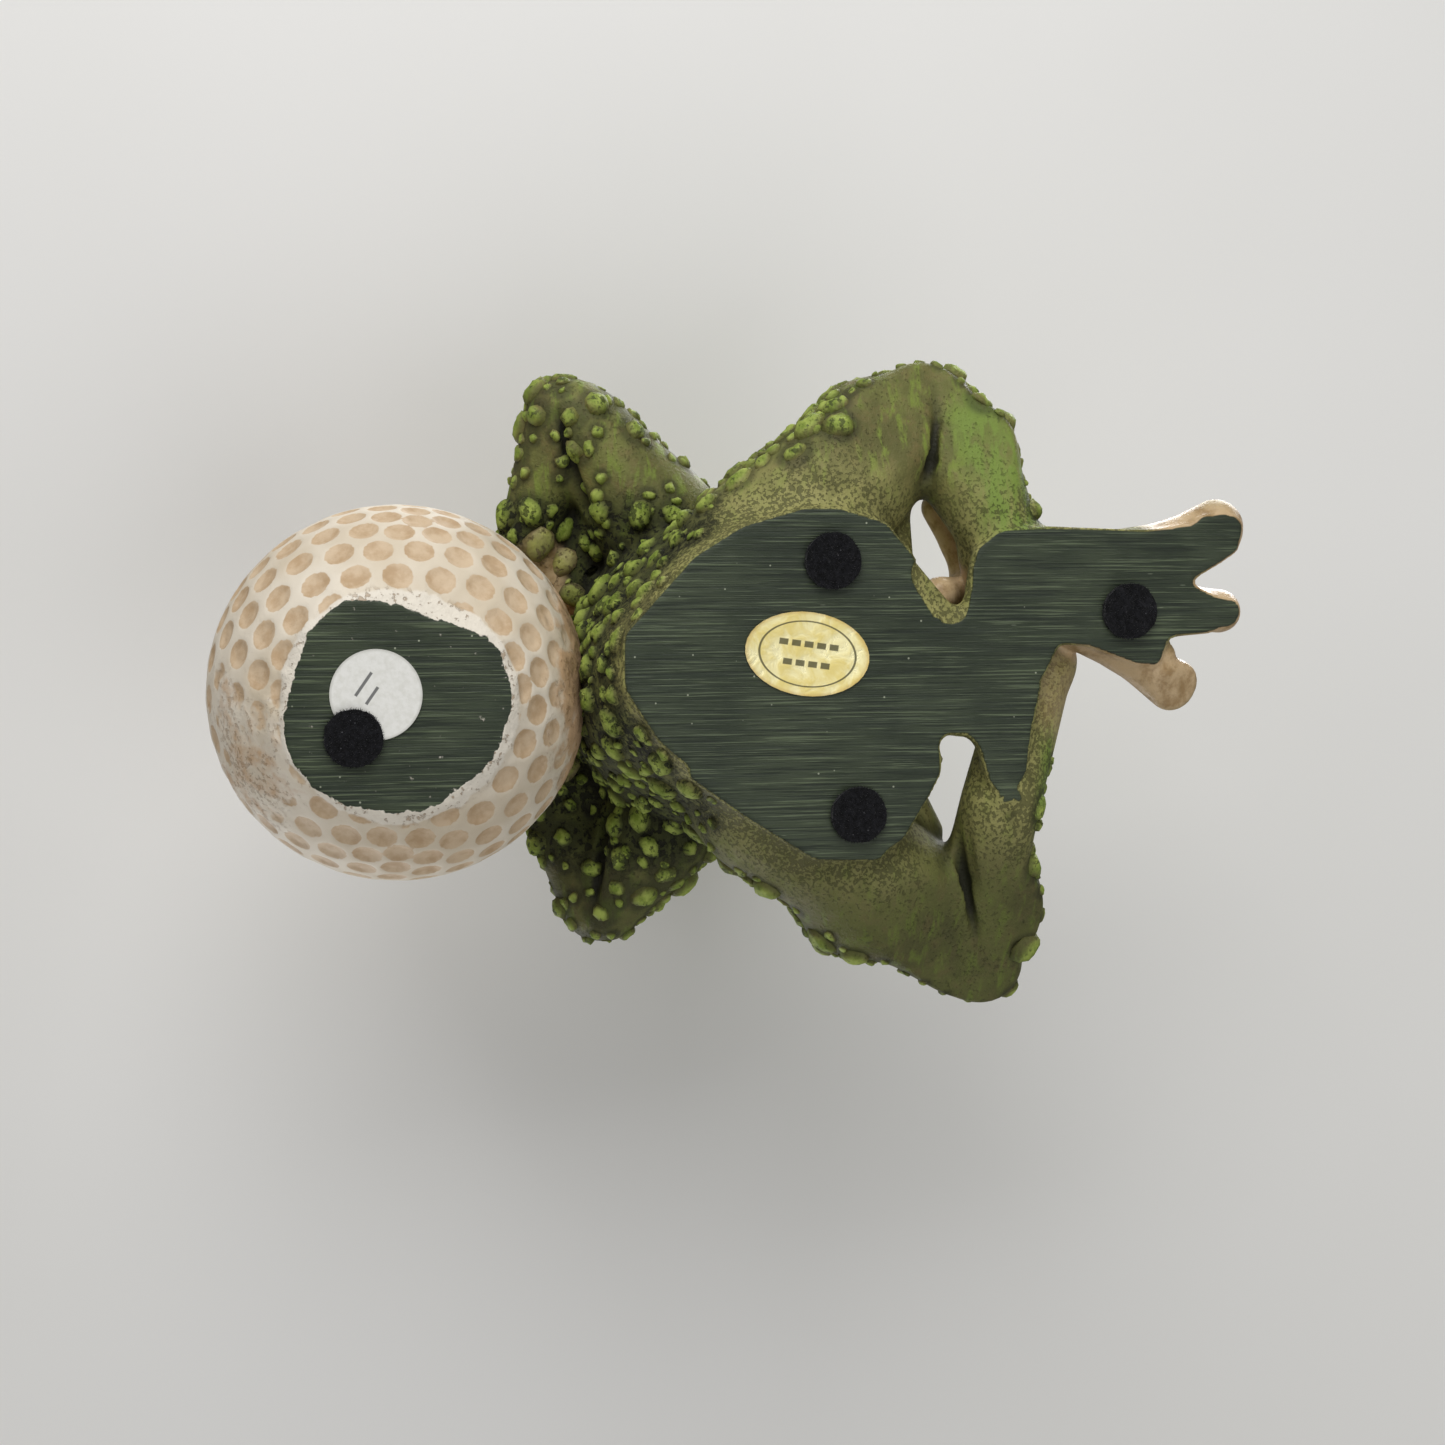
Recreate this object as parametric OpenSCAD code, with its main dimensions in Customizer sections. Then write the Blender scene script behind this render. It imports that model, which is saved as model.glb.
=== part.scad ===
// Warty frog figurine lying back against a golf ball, seven resin castings glued into one.
// +Z is up, the felt pads stand on z = 0, the toes point to -Y and the frog's left is +X.

/* [Golf ball] */
// Diameter of the ball
ball_d = 42.7; // [36:0.1:52]
// Diameter of the flat ground on its underside
ball_flat_d = 22.4; // [18:0.1:26]
// Distance behind the origin at which the ball meets the frog's back
ball_front = 14.65; // [12:0.05:17]

/* [Body] */
// Width of the flat that the frog sits on
seat_w = 39; // [32:0.5:47]
// Length of that flat, from the ball side to the heels
seat_l = 38; // [32:0.5:42]
// Radius of the belly
belly_r = 17; // [14:0.5:18.5]
// Radius of the chest
chest_r = 13; // [11:0.5:15]
// Height of the shoulders above the sole
shoulder_h = 27; // [25:0.5:32]

/* [Head] */
// Height of the whole figure above the sole
figure_h = 60; // [54:0.5:72]
// Width of the head at the mouth
head_w = 34; // [28:0.5:38]
// Length of the head from the nose to the nape
head_l = 31; // [27:0.5:34]
// Distance between the centres of the eyes
eye_gap = 18; // [15:0.5:20]
// Diameter of an eyeball
eye_d = 8.4; // [7:0.1:10]

/* [Legs] */
// Width across both knees
knee_span = 74; // [62:0.5:86]
// Height of the knees' centres above the sole
knee_h = 10.5; // [9:0.5:16]
// Radius of a knee
knee_r = 5.2; // [4.5:0.1:6.2]
// Radius of a thigh at its middle
thigh_r = 8.2; // [7:0.1:9]
// Radius of a shin at the ankle
ankle_r = 4.2; // [3.5:0.1:5]
// Distance of the longest toe's tip in front of the origin
toe_reach = 57.5; // [50:0.5:64]
// Radius of a toe
toe_r = 1.9; // [1.5:0.1:2.3]

/* [Arms] */
// Width across both elbows
elbow_span = 70; // [60:0.5:80]
// Height of the elbows' centres above the sole
elbow_h = 27; // [25:0.5:33]
// Radius of an elbow
elbow_r = 4.4; // [3.8:0.1:5]
// Radius of a wrist
wrist_r = 3.6; // [3:0.1:4.2]
// Radius of a finger
finger_r = 1.5; // [1.2:0.1:1.8]

/* [Felt pads] */
// Diameter of a stick-on felt dot
pad_d = 6.2; // [5:0.1:7]
// Thickness of the felt, which is also the height of the sole
pad_t = 1; // [0.8:0.1:1.6]

/* [Labels] */
// Length of the oval foil label
foil_l = 13.8; // [12:0.1:17]
// Width of the oval foil label
foil_w = 9.1; // [7.6:0.1:11]
// Diameter of the round inspection label
round_label_d = 9.6; // [8:0.1:11]
// Thickness of both labels
label_t = 0.2; // [0.15:0.05:0.3]

/* [Dowels] */
// Diameter of the steel locating dowels
dowel_d = 2.5; // [2:0.1:3]
// Length of each dowel
dowel_l = 12; // [10:0.5:14]
// Radial clearance of a dowel in its drilled holes
dowel_gap = 0.05; // [0.02:0.01:0.1]

/* [Hidden] */

skin = "olivedrab";
paw = "tan";
$fn = 64;
bead_fn = 20;
digit_fn = 10;

// A point h above the ground sole
function at(x, y, h) = [x, y, pad_t + h];
// The point a share t of the way from a to b
function mix(a, b, t) = a + (b - a) * t;

// Golf ball
ball_r = ball_d / 2;
ball_rise = sqrt(ball_r * ball_r - pow(ball_flat_d / 2, 2));
ball_c = at(0.5, ball_front + ball_r, ball_rise);

// Seat flat, right side first and then left, as shares of its half width and its length from the back
seat_back = 12.5;
seat_right = [
    [-0.30, 0], [-0.46, 0.10], [-0.73, 0.20], [-0.90, 0.34], [-1, 0.52], [-1, 0.62],
    [-0.92, 0.76], [-0.72, 0.82], [-0.38, 1],
];
seat_left = [
    [0.24, 1], [0.62, 0.90], [0.88, 0.82], [0.98, 0.73], [0.98, 0.60], [0.82, 0.46],
    [0.60, 0.28], [0.30, 0.10], [0, 0],
];
seat_shape = concat(seat_right, seat_left);
seat_slab_t = 3;
function seat_at(u, v) = [u * seat_w / 2 - 1, seat_back - v * seat_l];

// Body stations
belly_c = at(-1, -3, belly_r - 1);
chest_c = at(0, 5, 24);
back_c = at(0, 6, 13);
back_r = 10.5;
shoulder_x = 12;
shoulder_r = 6.5;
neck_r = 8;
function shoulder(side) = at(side * shoulder_x, 5, shoulder_h);

// Head stations
eye_bump_r = eye_d / 2 + 1.6;
nape_r = 11;
cheek_r = 7;
nose_r = 6.5;
brow_y = 7;
nape_c = at(0, 3 + head_l / 2 - nape_r, figure_h - 17);
neck_c = [0, 8, nape_c.z - nape_r];
function cheek(side) = at(side * (head_w / 2 - cheek_r), 2, figure_h - 17.5);
nose_c = at(0, 3 - head_l / 2 + nose_r, figure_h - 16);
function eye_bump(side) = at(side * eye_gap / 2, brow_y, figure_h - eye_bump_r);
function eye_c(side) = eye_bump(side) + [side * 0.9, -2.4, 0.3];

// Leg stations, the frog's left ankle crossing over its right one
knee_x = knee_span / 2 - knee_r;
hip_r = 10;
calf_r = 4.8;
right_hip = at(-13.6, -4, 11);
right_mid = at(-24, -14.2, 9.8);
right_knee = at(-knee_x, -22.6, knee_h);
right_calf = at(4.6 - knee_x, -28, 7.4);
right_ankle = at(-16.4, -31, ankle_r + 0.6);
left_hip = at(12, -6, 11);
left_mid = at(21.8, -18, 9.8);
left_knee = at(knee_x, -29, knee_h);
left_shin_low = at(13, -30.8, ankle_r);
left_ankle = at(-3, -36.2, 7.6);
left_instep = at(-11, -31, 13.6);
shin_r = 4.6;
instep_r = 3.4;
foot_slab_t = 2.6;

// Outline of the flat under the right foot and the left heel, from the knee side round by the toes
foot_y = -toe_reach;
foot_shape = [
    [-7.5, -25.2], [-12.5, -25.6], [-16, -26.4], [-18, -29], [-18.4, -35], [-18, -46],
    [-18.7, foot_y + 5], [-18.6, foot_y + 1.4], [-17.4, foot_y + 0.4], [-15.6, foot_y + 0.6],
    [-14, foot_y + 3], [-12.2, foot_y + 6.4], [-10.8, foot_y + 3.6], [-9.4, foot_y + 0.6],
    [-8.2, foot_y + 0.4], [-6.4, foot_y + 3.6], [-6, foot_y + 8.6], [-2.8, foot_y + 9.6],
    [-3, -45], [-5, -39.6], [-5.4, -36.2], [-1.6, -34.4], [4, -33.2], [9, -32.6],
    [11.6, -30], [10, -28.2], [6, -27], [4, -25.2],
];
heel_x = -1.4;

// Toes of the right foot, each from its root to its tip
toe_a = [at(-14.5, -46, 2.4), at(-17, foot_y + toe_r + 0.1, 1.4)];
toe_b = [at(-10.6, -47, 2.4), at(-8.6, foot_y + toe_r, 1.4)];
toe_c = [at(-7, -38, 3), at(-0.8, foot_y + 6.8, 2.8)];
ball_of_foot = at(-10.5, -43, 2.6);

// Toes of the left foot, lying over the right shin, the first one hanging in front of the thigh
left_toes = [
    [left_instep, at(-10.6, -24.6, 7.5)],
    [left_instep, at(-20.5, -26.4, 14.6)],
    [left_instep, at(-20.4, -31.4, 13.4)],
];

// Arm stations, the hands lying between the nape, the back and the ball
elbow_x = elbow_span / 2 - elbow_r;
right_elbow = at(-elbow_x - 1, 15.4, elbow_h);
left_elbow = at(elbow_x - 3, 11.6, elbow_h);
right_wrist = at(-16.5, 20.6, elbow_h + 2);
left_wrist = at(14.5, 18.4, elbow_h + 3);
upper_arm_r = 7.2;
left_palm = [7.5, 17, nape_c.z - 8.8];
right_palm = at(-9, 18.6, elbow_h + 3);
palm_r = 2.8;
right_fingers = [for (tip = [[-6.5, -1.4, -9.2], [-7.5, -0.6, -5.6], [-9.5, 0.6, -2.6]]) left_palm + tip];
left_fingers = [for (tip = [[-8.5, 1, 2.6], [-7.1, 0.6, -0.4], [-10.1, 2, 5]]) left_palm + tip];

// Felt pads and labels on the sole
pad_seat_left = seat_at(0.72, 0.68);
pad_seat_right = seat_at(-0.7, 0.6);
pad_foot = [-9, -44];
pad_ball = [ball_c.x + 3.2, ball_c.y + 4.8];
foil_c = [-4.6, -7.6];
foil_turn = 8;
round_label_c = [ball_c.x - 1.3, ball_c.y + 2.4];

// Dowels, each centred on the joint that it bridges
dowel_r = dowel_d / 2;
neck_joint = [0, 7.6, nape_c.z - 5];
hip_dowel_h = 10;
ball_joint = [ball_c.x, ball_front + 0.6, ball_c.z];
function shoulder_joint(side) = shoulder(side) + [side * 4.4, 1, 0];
right_hip_joint = at(-18, -8.6, hip_dowel_h);
left_hip_joint = at(18, -11.4, hip_dowel_h);

module bead(p, r) {
    translate(p) sphere(r, $fn = bead_fn);
}

// An oval with half sizes a and b
function oval(a, b) = [for (turn = [0 : 10 : 350]) [a * cos(turn), b * sin(turn)]];

// A bone with a bead at each end
module bone(p, p_r, q, q_r) {
    hull() {
        bead(p, p_r);
        bead(q, q_r);
    }
}

// A straight digit with ten flat sides and a rounder tip
module digit(p, q, r, tip = 1.15) {
    d = q - p;
    l = norm(d);
    translate(p) rotate([0, acos(d.z / l), atan2(d.y, d.x)]) cylinder(r = r, h = l, $fn = digit_fn);
    translate(q) sphere(r * tip, $fn = digit_fn);
}

// Everything below the ground sole, taken off each casting
module grind() {
    translate([-100, -100, pad_t - 50]) cube([200, 200, 50]);
}

// A dowel lying along a direction, centred on its joint; gap widens it into its drilled hole
module dowel_at(joint, turn, gap = 0) {
    translate(joint) rotate(turn) cylinder(r = dowel_r + gap, h = dowel_l, center = true);
}

module neck_pin(gap = 0) dowel_at(neck_joint, [0, 0, 0], gap);
module shoulder_pin(side, gap = 0) dowel_at(shoulder_joint(side), [0, 90, 0], gap);
module right_hip_pin(gap = 0) dowel_at(right_hip_joint, [0, 90, 0], gap);
module left_hip_pin(gap = 0) dowel_at(left_hip_joint, [0, 90, 0], gap);
module ball_pin(gap = 0) dowel_at(ball_joint, [90, 0, 0], gap);

module ball_solid() {
    translate(ball_c) sphere(ball_r);
}

module torso_solid() {
    hull() {
        translate([0, 0, pad_t]) linear_extrude(seat_slab_t)
            polygon([for (p = seat_shape) seat_at(p.x, p.y)]);
        bead(belly_c, belly_r);
        bead(chest_c, chest_r);
        bead(back_c, back_r);
        for (side = [-1, 1]) bead(shoulder(side), shoulder_r);
        bead(neck_c, neck_r);
    }
}

module skull_solid() {
    hull() {
        bead(nape_c, nape_r);
        for (side = [-1, 1]) bead(cheek(side), cheek_r);
        bead(nose_c, nose_r);
    }
}

module foot_flat() {
    translate([0, 0, pad_t]) linear_extrude(foot_slab_t) polygon(foot_shape);
}

module right_shin_solid() {
    hull() {
        bead(right_knee, knee_r);
        bead(right_calf, calf_r);
        bead(right_ankle, ankle_r);
    }
    bone(right_ankle, ankle_r, ball_of_foot, toe_r + 1);
}

module torso_casting() {
    color(skin) difference() {
        torso_solid();
        ball_solid();
        grind();
        neck_pin(dowel_gap);
        for (side = [-1, 1]) shoulder_pin(side, dowel_gap);
        right_hip_pin(dowel_gap);
        left_hip_pin(dowel_gap);
        ball_pin(dowel_gap);
    }
}

module head_casting() {
    color(skin) difference() {
        union() {
            skull_solid();
            for (side = [-1, 1]) translate(eye_bump(side)) sphere(eye_bump_r);
        }
        torso_solid();
        for (side = [-1, 1]) translate(eye_c(side)) sphere(d = eye_d);
        neck_pin(dowel_gap);
    }
}

module eye(side) {
    color("gold") translate(eye_c(side)) sphere(d = eye_d);
}

module left_eye() eye(1);
module right_eye() eye(-1);

module arm(side, elbow, wrist, palm, fingers) {
    bone(shoulder(side) + [side * 5, 0, -1], upper_arm_r, elbow, elbow_r);
    bone(elbow + [0, 1, 0.6], elbow_r, wrist, wrist_r);
    bone(wrist, wrist_r, palm, palm_r);
    for (tip = fingers) digit(palm, tip, finger_r);
}

module right_arm_solid() {
    arm(-1, right_elbow, right_wrist, right_palm, right_fingers);
}

module right_arm_casting() {
    color(paw) difference() {
        right_arm_solid();
        torso_solid();
        skull_solid();
        ball_solid();
        shoulder_pin(-1, dowel_gap);
    }
}

module left_arm_casting() {
    color(paw) difference() {
        arm(1, left_elbow, left_wrist, left_palm, left_fingers);
        torso_solid();
        skull_solid();
        ball_solid();
        shoulder_pin(1, dowel_gap);
    }
}

module right_leg_casting() {
    color(skin) difference() {
        union() {
            bone(right_hip, hip_r, right_mid, thigh_r);
            bone(right_mid, thigh_r, right_knee, knee_r);
            right_shin_solid();
            intersection() {
                foot_flat();
                translate([heel_x - 40, -80, 0]) cube([40, 80, 20]);
            }
            digit(toe_a[0], toe_a[1], toe_r);
            digit(toe_b[0], toe_b[1], toe_r);
            digit(toe_c[0], toe_c[1], toe_r);
        }
        torso_solid();
        grind();
        right_hip_pin(dowel_gap);
    }
}

module left_leg_casting() {
    color(skin) difference() {
        union() {
            bone(left_hip, hip_r, left_mid, thigh_r);
            bone(left_mid, thigh_r, left_knee, knee_r);
            bone(left_knee, knee_r, left_shin_low, shin_r);
            bone(left_shin_low, shin_r, left_ankle, ankle_r);
            intersection() {
                foot_flat();
                translate([heel_x, -80, 0]) cube([40, 80, 20]);
            }
            digit(left_ankle, left_instep, instep_r, 1);
            for (toe = left_toes) digit(toe[0], toe[1], toe_r);
        }
        torso_solid();
        right_shin_solid();
        grind();
        left_hip_pin(dowel_gap);
    }
}

module golf_ball_casting() {
    color("ivory") difference() {
        ball_solid();
        grind();
        ball_pin(dowel_gap);
    }
}

module felt_pad(p) {
    color("black") translate([p.x, p.y, 0]) cylinder(d = pad_d, h = pad_t);
}

module felt_pad_seat_left() felt_pad(pad_seat_left);
module felt_pad_seat_right() felt_pad(pad_seat_right);
module felt_pad_foot() felt_pad(pad_foot);

// The pad on the ball is stuck partly over the round label
module felt_pad_ball() {
    color("black") difference() {
        felt_pad(pad_ball);
        inspection_label();
    }
}

module foil_label() {
    color("gold") translate([foil_c.x, foil_c.y, pad_t - label_t]) rotate(foil_turn)
        linear_extrude(label_t) polygon(oval(foil_w / 2, foil_l / 2));
}

module inspection_label() {
    color("white") translate([round_label_c.x, round_label_c.y, pad_t - label_t])
        cylinder(d = round_label_d, h = label_t);
}

module neck_dowel() color("silver") neck_pin();
module left_shoulder_dowel() color("silver") shoulder_pin(1);
module right_shoulder_dowel() color("silver") shoulder_pin(-1);
module left_hip_dowel() color("silver") left_hip_pin();
module right_hip_dowel() color("silver") right_hip_pin();
module ball_dowel() color("silver") ball_pin();

torso_casting();
head_casting();
left_arm_casting();
right_arm_casting();
left_leg_casting();
right_leg_casting();
golf_ball_casting();
left_eye();
right_eye();
felt_pad_seat_left();
felt_pad_seat_right();
felt_pad_foot();
felt_pad_ball();
foil_label();
inspection_label();
neck_dowel();
left_shoulder_dowel();
right_shoulder_dowel();
left_hip_dowel();
right_hip_dowel();
ball_dowel();
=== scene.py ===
import itertools
import math

import bmesh
import bpy
import numpy as np
import openvdb
from mathutils import Matrix, Vector


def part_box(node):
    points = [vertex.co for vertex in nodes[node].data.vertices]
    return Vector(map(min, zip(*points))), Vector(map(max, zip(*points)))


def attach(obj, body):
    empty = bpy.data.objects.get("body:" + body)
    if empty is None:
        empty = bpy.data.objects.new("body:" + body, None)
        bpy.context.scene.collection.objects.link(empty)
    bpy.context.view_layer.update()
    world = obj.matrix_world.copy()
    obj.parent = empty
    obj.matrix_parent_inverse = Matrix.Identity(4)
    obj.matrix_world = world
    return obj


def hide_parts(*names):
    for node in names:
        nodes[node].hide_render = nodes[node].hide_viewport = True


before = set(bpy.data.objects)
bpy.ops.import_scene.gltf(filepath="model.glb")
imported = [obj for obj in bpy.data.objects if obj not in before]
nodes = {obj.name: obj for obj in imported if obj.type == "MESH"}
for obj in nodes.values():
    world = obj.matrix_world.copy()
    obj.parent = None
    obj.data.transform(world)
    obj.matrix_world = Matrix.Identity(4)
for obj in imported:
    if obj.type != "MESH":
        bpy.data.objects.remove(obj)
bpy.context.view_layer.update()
mm = 0.001

castings = ["torso_casting", "head_casting", "left_arm_casting", "right_arm_casting",
            "left_leg_casting", "right_leg_casting"]
dowels = [name for name in nodes if name.endswith("_dowel")]
ballLow, ballHigh = (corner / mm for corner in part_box("golf_ball_casting"))
soleZ = ballLow.z
ballRadius = (ballHigh.x - ballLow.x) / 2
ballCentre = Vector(((ballLow.x + ballHigh.x) / 2, ballHigh.y - ballRadius, ballHigh.z - ballRadius))
print("frame loaded, sole at", round(soleZ, 2), "mm")

view = {"target": (0.0027, 0.0017, 0.001), "along": (0.09703, -0.16412, 0.98162), "distance": 0.209,
        "up": (-1, 0, 0), "angle": 40.87, "nearest": 0.005, "farthest": 10}


def makeCamera():
    camera = bpy.data.objects.new("camera", bpy.data.cameras.new("camera"))
    bpy.context.scene.collection.objects.link(camera)
    along = Vector(view["along"]).normalized()
    right = along.cross(Vector(view["up"])).normalized()
    turn = Matrix((right, right.cross(along), -along)).transposed()
    place = Vector(view["target"]) - along * view["distance"]
    camera.matrix_world = Matrix.Translation(place) @ turn.to_4x4()
    camera.data.angle = math.radians(view["angle"])
    camera.data.clip_start = view["nearest"]
    camera.data.clip_end = view["farthest"]
    bpy.context.scene.camera = camera


makeCamera()


# the frog is sculpted as a signed distance field in millimetres, on one grid
sculpt = {"voxel": 0.36, "margin": 3.0, "band": 5.0, "strokeRoom": 1}
soften = {"torso_casting": 1.1, "head_casting": 0.9, "left_leg_casting": 0.7, "right_leg_casting": 0.7,
          "left_arm_casting": 0.6, "right_arm_casting": 0.6}  # blur of each casting before they are joined
meld = {"legs": 0.5, "arms": 0.4, "head": 2.6, "hips": 2.2, "shoulders": 1.4,
        "slab": 0.6, "undercut": 0.5}  # how softly the joints run together


def makeGrid():
    lows = np.array([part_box(n)[0][:] for n in castings]).min(0) / mm - sculpt["margin"]
    highs = np.array([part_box(n)[1][:] for n in castings]).max(0) / mm + sculpt["margin"]
    shape = np.ceil((highs - lows) / sculpt["voxel"]).astype(int) + 1
    axes = [(lows[i] + sculpt["voxel"] * np.arange(shape[i])).astype(np.float32) for i in range(3)]
    return lows, tuple(shape), axes


gridLow, gridShape, gridAxes = makeGrid()


def mergedCopy(name):  # a CAD node's points in mm and its triangles, joined up
    work = bmesh.new()
    work.from_mesh(nodes[name].data)
    bmesh.ops.remove_doubles(work, verts=work.verts, dist=1e-6)
    bmesh.ops.triangulate(work, faces=work.faces)
    points = np.array([v.co[:] for v in work.verts], np.float32) / mm
    work.verts.index_update()
    tris = np.array([[v.index for v in f.verts] for f in work.faces], np.uint32)
    work.free()
    return points, tris


def nodeField(name):  # distance to a CAD node's surface, negative inside
    points, tris = mergedCopy(name)
    width = sculpt["band"] / sculpt["voxel"]
    level = openvdb.FloatGrid.createLevelSetFromPolygons(
        ((points - gridLow) / sculpt["voxel"]).astype(np.float32), triangles=tris,
        transform=openvdb.createLinearTransform(1.0), exBandWidth=width, inBandWidth=width)
    field = np.zeros(gridShape, np.float32)
    level.copyToArray(field, ijk=(0, 0, 0))
    return field * sculpt["voxel"]


def smoothMin(a, b, blend):
    h = np.clip(0.5 + 0.5 * (b - a) / blend, 0, 1)
    return b + (a - b) * h - blend * h * (1 - h)


def smoothMax(a, b, blend):
    return -smoothMin(-a, -b, blend)


def softened(field, axes, passes, stride=1):  # a short three-point average along each axis
    for _ in range(passes):
        for axis in range(axes):
            field = (np.roll(field, stride, axis) + 2 * field + np.roll(field, -stride, axis)) / 4
    return field


def blurred(field, sigma):  # a soft average over about sigma mm
    single = 2 * (sigma / sculpt["voxel"]) ** 2
    wide = round(single / 4)  # steps of two grid points need a quarter of the passes
    if wide > 1:
        return softened(field, 3, wide, 2)
    return softened(field, 3, max(1, round(single)))


def window(low, high):  # the part of the grid between two corners, and its coordinates
    cut = []
    for i in range(3):
        first = int(np.floor((low[i] - gridLow[i]) / sculpt["voxel"]))
        last = int(np.ceil((high[i] - gridLow[i]) / sculpt["voxel"])) + 1
        cut.append(slice(max(0, first), max(1, min(gridShape[i], last))))
    x, y, z = (gridAxes[i][cut[i]] for i in range(3))
    return tuple(cut), x[:, None, None], y[None, :, None], z[None, None, :]


def shapeClay(field, cut, away, blend, carve):  # a shape adds clay, or carves it away
    field[cut] = smoothMax(field[cut], -away, blend) if carve else smoothMin(field[cut], away, blend)


def stroke(field, points, radii, blend=0.8, carve=False):  # a rounded limb through points
    reach = max(radii) + blend + sculpt["strokeRoom"]
    for (p, q, rp, rq) in zip(points, points[1:], radii, radii[1:]):
        p, q = np.array(p, float), np.array(q, float)
        cut, x, y, z = window(np.minimum(p, q) - reach, np.maximum(p, q) + reach)
        d = q - p
        t = np.clip(((x - p[0]) * d[0] + (y - p[1]) * d[1] + (z - p[2]) * d[2]) / max(d @ d, 1e-9), 0, 1)
        away = np.sqrt((x - p[0] - t * d[0]) ** 2 + (y - p[1] - t * d[1]) ** 2 + (z - p[2] - t * d[2]) ** 2)
        shapeClay(field, cut, away - (rp + (rq - rp) * t), blend, carve)


def lump(field, centre, sizes, blend=1.5, carve=False):  # an ellipsoid
    c, s = np.array(centre, float), np.array(sizes, float)
    cut, x, y, z = window(c - s - blend - sculpt["strokeRoom"], c + s + blend + sculpt["strokeRoom"])
    near = np.sqrt(((x - c[0]) / s[0]) ** 2 + ((y - c[1]) / s[1]) ** 2 + ((z - c[2]) / s[2]) ** 2)
    slope = np.sqrt(((x - c[0]) / s[0] ** 2) ** 2 + ((y - c[1]) / s[1] ** 2) ** 2
                    + ((z - c[2]) / s[2] ** 2) ** 2)
    shapeClay(field, cut, near * (near - 1) / np.maximum(slope, 1e-6), blend, carve)


def at(x, y, h):  # a place h mm above the sole
    return (x, y, soleZ + h)


def addClay(field, rows, carve=False):  # rows of (points, radii, blend) or (centre, sizes, blend)
    for place, sizes, blend in rows:
        if isinstance(place, list):
            stroke(field, [at(*p) for p in place], sizes, blend, carve)
        else:
            lump(field, at(*place), sizes, blend, carve)


def sphereField(centre, radius, reach):  # distance to a sphere, over the part of the grid within reach of it
    cut, x, y, z = window(centre - Vector([reach] * 3), centre + Vector([reach] * 3))
    x, y, z = x - centre.x, y - centre.y, z - centre.z
    return cut, np.sqrt(x * x + y * y + z * z) - radius, (x, y, z)


# where hand sanding left the flat a little wider or narrower than its casting
ground = {"adds": [((8.2, 4.6), (12.8, -1.8), 1.0), ((12.8, -1.8), (17.2, -8.8), 1.0),
                   ((17.2, -8.8), (17.5, -15.4), 1.0), ((17.5, -15.4), (13.6, -18.6), 1.0),
                   ((-18.4, -53.0), (-18.2, -56.0), 1.4), ((-8.6, -51), (-9.0, -56), 1.3)],
          "cuts": [((13.9, -30.9), (16.5, -31.2), 2.1), ((-13, -20.8), (-10, -22.6), 1.7),
                   ((-9.6, -23.6), (-12.5, -24.0), 1.9), ((5.6, -23.8), (8.0, -24.2), 1.3)],
          "level": 0.02, "slope": 0.3, "slabHeight": 2.2, "lift": 0.12}


def planCapsule(x, y, start, end, radius):
    d = np.array(end, float) - np.array(start, float)
    t = np.clip(((x - start[0]) * d[0] + (y - start[1]) * d[1]) / max(d @ d, 1e-9), 0, 1)
    return np.hypot(x - start[0] - t * d[0], y - start[1] - t * d[1]) - radius


def soleOutline():  # signed distance in plan to the edge of the ground flat, negative on it
    x, y = gridAxes[0][:, None], gridAxes[1][None, :]
    inside = np.zeros(gridShape[:2], bool)
    near = np.full(gridShape[:2], 99.0, np.float32)
    for name in ("torso_casting", "left_leg_casting", "right_leg_casting"):
        points, tris = mergedCopy(name)
        uses = {}
        for t in (t for t in tris if np.all(np.abs(points[t][:, 2] - soleZ) < ground["level"])):
            a, b, c = (points[i][:2].astype(float) for i in t)
            area = (b[0] - a[0]) * (c[1] - a[1]) - (b[1] - a[1]) * (c[0] - a[0])
            if abs(area) < 1e-9:
                continue
            u = ((b[0] - x) * (c[1] - y) - (b[1] - y) * (c[0] - x)) / area
            v = ((c[0] - x) * (a[1] - y) - (c[1] - y) * (a[0] - x)) / area
            inside |= (u >= -1e-3) & (v >= -1e-3) & (u + v <= 1.001)
            for i, j in ((0, 1), (1, 2), (2, 0)):
                key = tuple(sorted((int(t[i]), int(t[j]))))
                uses[key] = uses.get(key, 0) + 1
        for (i, j), count in uses.items():
            if count == 1:
                near = np.minimum(near, planCapsule(x, y, points[i][:2].astype(float),
                                                    points[j][:2].astype(float), 0))
    plan = np.where(inside, -near, near)
    for start, end, radius in ground["adds"]:
        plan = np.minimum(plan, planCapsule(x, y, start, end, radius))
    for start, end, radius in ground["cuts"]:
        plan = np.maximum(plan, -planCapsule(x, y, start, end, radius))
    return softened(plan.astype(np.float32), 2, 2)


def sample(field, points):  # a field's values at points in mm, between its grid points
    spot = (points - gridLow)[:, :field.ndim] / sculpt["voxel"]
    base = np.clip(np.floor(spot).astype(int), 0, np.array(field.shape) - 2)
    share = spot - base
    total = 0
    for corner in itertools.product((0, 1), repeat=field.ndim):
        weight = np.prod(np.where(corner, share, 1 - share), axis=1)
        total = total + weight * field[tuple((base + corner).T)]
    return total


def meet(field, start, way, reach=14.0, stride=0.25):  # where a line from a place first meets the skin
    line = np.array(start) + np.arange(0, reach, stride)[:, None] * np.array(way)
    depth = sample(field, line)
    inside = np.nonzero(depth < 0)[0]
    i = max(inside[0] if len(inside) else len(line) - 1, 1)
    share = np.clip(depth[i - 1] / (depth[i - 1] - depth[i] + 1e-9), 0, 1)
    return tuple(line[i - 1] + share * (line[i] - line[i - 1]))


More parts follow.
